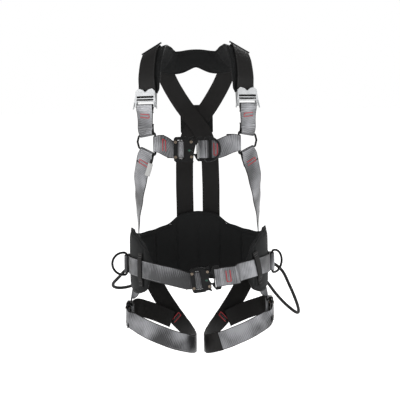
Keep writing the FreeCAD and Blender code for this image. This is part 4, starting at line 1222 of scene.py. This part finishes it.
class HARNESS_OT_gear_loops(bpy.types.Operator):
    """Make the sleeved cord loops behind the hips"""
    bl_idname = "harness.gear_loops"
    bl_label = "Gear loops"

    def execute(self, context):
        _, _, metal, _ = settings()
        for word, (length, points) in GEAR_ROUTES.items():
            curve = bpy.data.curves.new(f"gear_cord_{word}", "CURVE")
            curve.dimensions = "3D"
            spline = curve.splines.new("NURBS")
            spline.points.add(len(points) - 1)
            for target, p in zip(spline.points, points):
                target.co = (*(V(*p) * MM), 1.0)
            spline.order_u = 3
            spline.use_endpoint_u = True
            spline.resolution_u = 8
            curve.bevel_depth = metal.cord / 2
            curve.bevel_resolution = 4
            curve.use_fill_caps = True
            curve.materials.append(finishes()["cord_sleeve"])
            loop = bpy.data.objects.new(curve.name, curve)
            bpy.context.scene.collection.objects.link(loop)
            settle(loop, "harness", None, (f"gear_loop_{word}",))
        return {"FINISHED"}


class HARNESS_OT_label(bpy.types.Operator):
    """Make the bare white tag on its black tab"""
    bl_idname = "harness.label"
    bl_label = "Tag"

    def execute(self, context):
        made = finishes()
        bar = link_bar(-1, 3, 4)
        inner = bar.y if bar.y.x > 0 else -bar.y
        top = bar.point(2.5 + 4 * 2.4, 0, WEB_T + FOLD_GAP / 2 + WEB_GAP + 0.6) + inner * 20
        down = unit(bar.x + inner * 0.08)
        tab = Strap([Station(top + down * d, bar.z, 7.0, 1.2) for d in (0, 3, 6, 9.6)], 1.5)
        piece = tab.build("tag_tab", made["black_face"], made["black_face"], made["dark_edge"])
        settle(piece, "harness", None, ("label_tag",))
        curl = [(9.2, 0.0), (16, 0.1), (24, 0.5), (32, 1.2), (41.2, 2.0)]
        film = Strap([Station(top + down * d + bar.z * h, bar.z, 14.0, 0.8) for d, h in curl], 2.0)
        piece = film.build("tag_film", made["tag_white"], made["tag_white"], made["tag_white"])
        settle(piece, "harness", None)
        return {"FINISHED"}


# Half length, half width and height of each ring, from the frame in to the middle of the window.
INDICATOR_RINGS = [(3.6, 2.9, 0.0), (3.6, 2.9, 0.35), (3.2, 2.5, 0.6), (2.9, 2.2, 0.45), (2.2, 1.7, 0.75),
                   (1.1, 0.9, 0.95)]
INDICATOR_SIDES = 28
INDICATOR_AT = (14.3, -2.4)


class HARNESS_OT_indicators(bpy.types.Operator):
    """Make the small oval indicators beside the windows of the buckles"""
    bl_idname = "harness.indicators"
    bl_label = "Indicators"

    def execute(self, context):
        made = finishes()
        paints = (made["black_coating"], made["indicator_green"])
        x, y = INDICATOR_AT
        for name, f in {"chest": CHEST, "waist": WAIST, "leg_left": LEGS[1], "leg_right": LEGS[-1]}.items():
            verts, faces, kinds = [], [], []
            count = INDICATOR_SIDES
            for a, b, h in INDICATOR_RINGS:
                for k in range(count):
                    turn = 2 * pi * k / count
                    verts.append(f.point(x + a * cos(turn), y + b * sin(turn), HOUSING_HALF_T + h))
            for i in range(len(INDICATOR_RINGS) - 1):
                for k in range(count):
                    j = (k + 1) % count
                    faces.append((i * count + k, i * count + j, (i + 1) * count + j, (i + 1) * count + k))
                    kinds.append(0 if i < 2 else 1)
            faces.append(tuple((len(INDICATOR_RINGS) - 1) * count + k for k in range(count)))
            kinds.append(1)
            piece = make_piece(f"{name}_indicator", verts, faces, kinds, paints)
            settle(recalculated(piece), "harness", None)
        return {"FINISHED"}


class HARNESS_OT_hardware(bpy.types.Operator):
    """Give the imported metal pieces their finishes"""
    bl_idname = "harness.hardware"
    bl_label = "Hardware finishes"

    def execute(self, context):
        made = finishes()
        for name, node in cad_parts.items():
            if "rivets" in name:
                finish = "rivet_metal"
            elif "adjuster_frame" in name or "adjuster_bars" in name:
                finish = "bare_metal"
            elif "spring" in name or "web_bars" in name:
                finish = "spring_wire"
            else:
                finish = "black_coating"
            node.data.materials.clear()
            node.data.materials.append(made[finish])
        return {"FINISHED"}


# ---------------------------------------------------------------- stage

# Place, the point it is turned to, power and size of each lamp, in metres and watts.
LAMPS = {
    "left_box": ((-2.5, -1.3, 0.5), (0, 0, -0.4), 30.0, (1.2, 1.8)),
    "right_box": ((2.5, -1.1, 0.3), (0, 0, -0.4), 25.0, (1.2, 1.8)),
    "front": ((0.4, -3.0, 0.9), (0, 0, -0.35), 4.0, (1.6, 1.0)),
    "top": ((0.2, -0.3, 1.9), (0, 0, -0.3), 9.0, (1.6, 1.0)),
    "rear": ((0.6, 2.6, 0.6), (0, 0, -0.4), 20.0, (1.6, 1.6)),
}
SENSOR_MM = 36.0
PHOTO_PIXELS, AIM_PIXELS = 400.0, 2.0


def area_light(name, place, aim, power, size):
    light = bpy.data.lights.new(name, "AREA")
    light.energy, light.shape = power, "RECTANGLE"
    light.size, light.size_y = size
    lamp = bpy.data.objects.new(name, light)
    lamp.location = place
    lamp.rotation_euler = (Vector(aim) - Vector(place)).to_track_quat("-Z", "Y").to_euler()
    bpy.context.scene.collection.objects.link(lamp)


class HARNESS_OT_stage(bpy.types.Operator):
    """Set the floor, the lamps, the background and the camera"""
    bl_idname = "harness.stage"
    bl_label = "Stage"

    def execute(self, context):
        scene = context.scene
        stage = settings()[3]
        low = CAD_BOX[0][2] - stage.gap
        mesh = bpy.data.meshes.new("floor")
        reach = 60.0
        corners = [(-reach, -reach, low), (reach, -reach, low), (reach, reach, low), (-reach, reach, low)]
        mesh.from_pydata(corners, [], [(0, 1, 2, 3)])
        floor = bpy.data.objects.new("floor", mesh)
        scene.collection.objects.link(floor)
        f = Finish("floor_paper", Roughness=0.9, Specular_IOR_Level=0.1, Emission_Strength=1.0)
        f.set(Base_Color=f.mix(f.noise(3.0), (0.90, 0.90, 0.90), (0.94, 0.94, 0.94)))
        far = f.node("ShaderNodeVectorMath", {"operation": "LENGTH"}, {0: f.place()}, "Value")
        glow = f.mix(((far - 0.8) / 1.6).kept(), (0.74, 0.74, 0.74), (0.92, 0.92, 0.92))
        seen = f.rays("Is Camera Ray", "Is Glossy Ray", "Is Transmission Ray")
        f.set(Emission_Color=f.mix(seen, (0.0, 0.0, 0.0), glow))
        mesh.materials.append(f.material)
        world = bpy.data.worlds.new("studio")
        world.use_nodes = True
        scene.world = world
        sky = Nodes(world.node_tree)
        heading = sky.node("ShaderNodeTexCoord", {}, {}, "Generated")
        aside = sky.node("ShaderNodeSeparateXYZ", {}, {0: heading}, "X").size()
        mirrored_room = aside * aside * 0.9 + 0.06
        plain = sky.rays("Is Camera Ray", "Is Transmission Ray")
        glossy = sky.rays("Is Glossy Ray")
        strength = plain + (1.0 - plain) * (glossy * mirrored_room + (1.0 - glossy) * (aside * 0.2 + 0.12))
        background = world.node_tree.nodes["Background"]
        sky.feed(background.inputs["Strength"], strength)
        sky.feed(background.inputs["Color"], (1.0, 1.0, 1.0))
        for name, lamp in LAMPS.items():
            area_light(name, *lamp)
        camera = bpy.data.cameras.new("camera")
        camera.lens, camera.sensor_width, camera.sensor_fit = stage.lens, SENSOR_MM, "HORIZONTAL"
        camera.shift_x = AIM_PIXELS / PHOTO_PIXELS
        camera.clip_end = 50.0
        viewer = bpy.data.objects.new("camera", camera)
        back = V(0, -cos(stage.rise), sin(stage.rise)) * stage.distance
        viewer.location = V(0, 0, stage.height) + back
        look = (-back).to_track_quat("-Z", "Y").to_matrix() @ Matrix.Rotation(-stage.roll, 3, "Z")
        viewer.rotation_euler = look.to_euler()
        scene.collection.objects.link(viewer)
        scene.camera = viewer
        scene.view_settings.view_transform = "Standard"
        return {"FINISHED"}


STEPS = (HARNESS_OT_stage, HARNESS_OT_gear_loops, HARNESS_OT_hardware, HARNESS_OT_chest_straps,
         HARNESS_OT_waist_belt, HARNESS_OT_shoulder_straps, HARNESS_OT_side_straps, HARNESS_OT_leg_straps,
         HARNESS_OT_shoulder_pad, HARNESS_OT_waist_pad, HARNESS_OT_label, HARNESS_OT_indicators)
GROUPS = {"harness_webbing": HarnessWebbing, "harness_pads": HarnessPads, "harness_hardware": HarnessHardware,
          "harness_stage": HarnessStage}


class HARNESS_PT_panel(bpy.types.Panel):
    """Sizes, colours and steps of the harness"""
    bl_label = "Safety Harness"
    bl_space_type = "VIEW_3D"
    bl_region_type = "UI"
    bl_category = "Harness"

    def draw(self, context):
        for name, group in GROUPS.items():
            box = self.layout.box()
            for prop in group.__annotations__:
                box.prop(getattr(context.scene, name), prop)
        for step in STEPS:
            self.layout.operator(step.bl_idname)


def register():
    for kind in (*GROUPS.values(), *STEPS, HARNESS_PT_panel):
        bpy.utils.register_class(kind)
    for name, group in GROUPS.items():
        setattr(bpy.types.Scene, name, bpy.props.PointerProperty(type=group))


def unregister():
    for name in GROUPS:
        delattr(bpy.types.Scene, name)
    for kind in (HARNESS_PT_panel, *reversed(STEPS), *reversed(list(GROUPS.values()))):
        bpy.utils.unregister_class(kind)


def main():
    register()
    for step in STEPS:
        group, name = step.bl_idname.split(".")
        getattr(getattr(bpy.ops, group), name)()


if __name__ == "__main__":
    main()
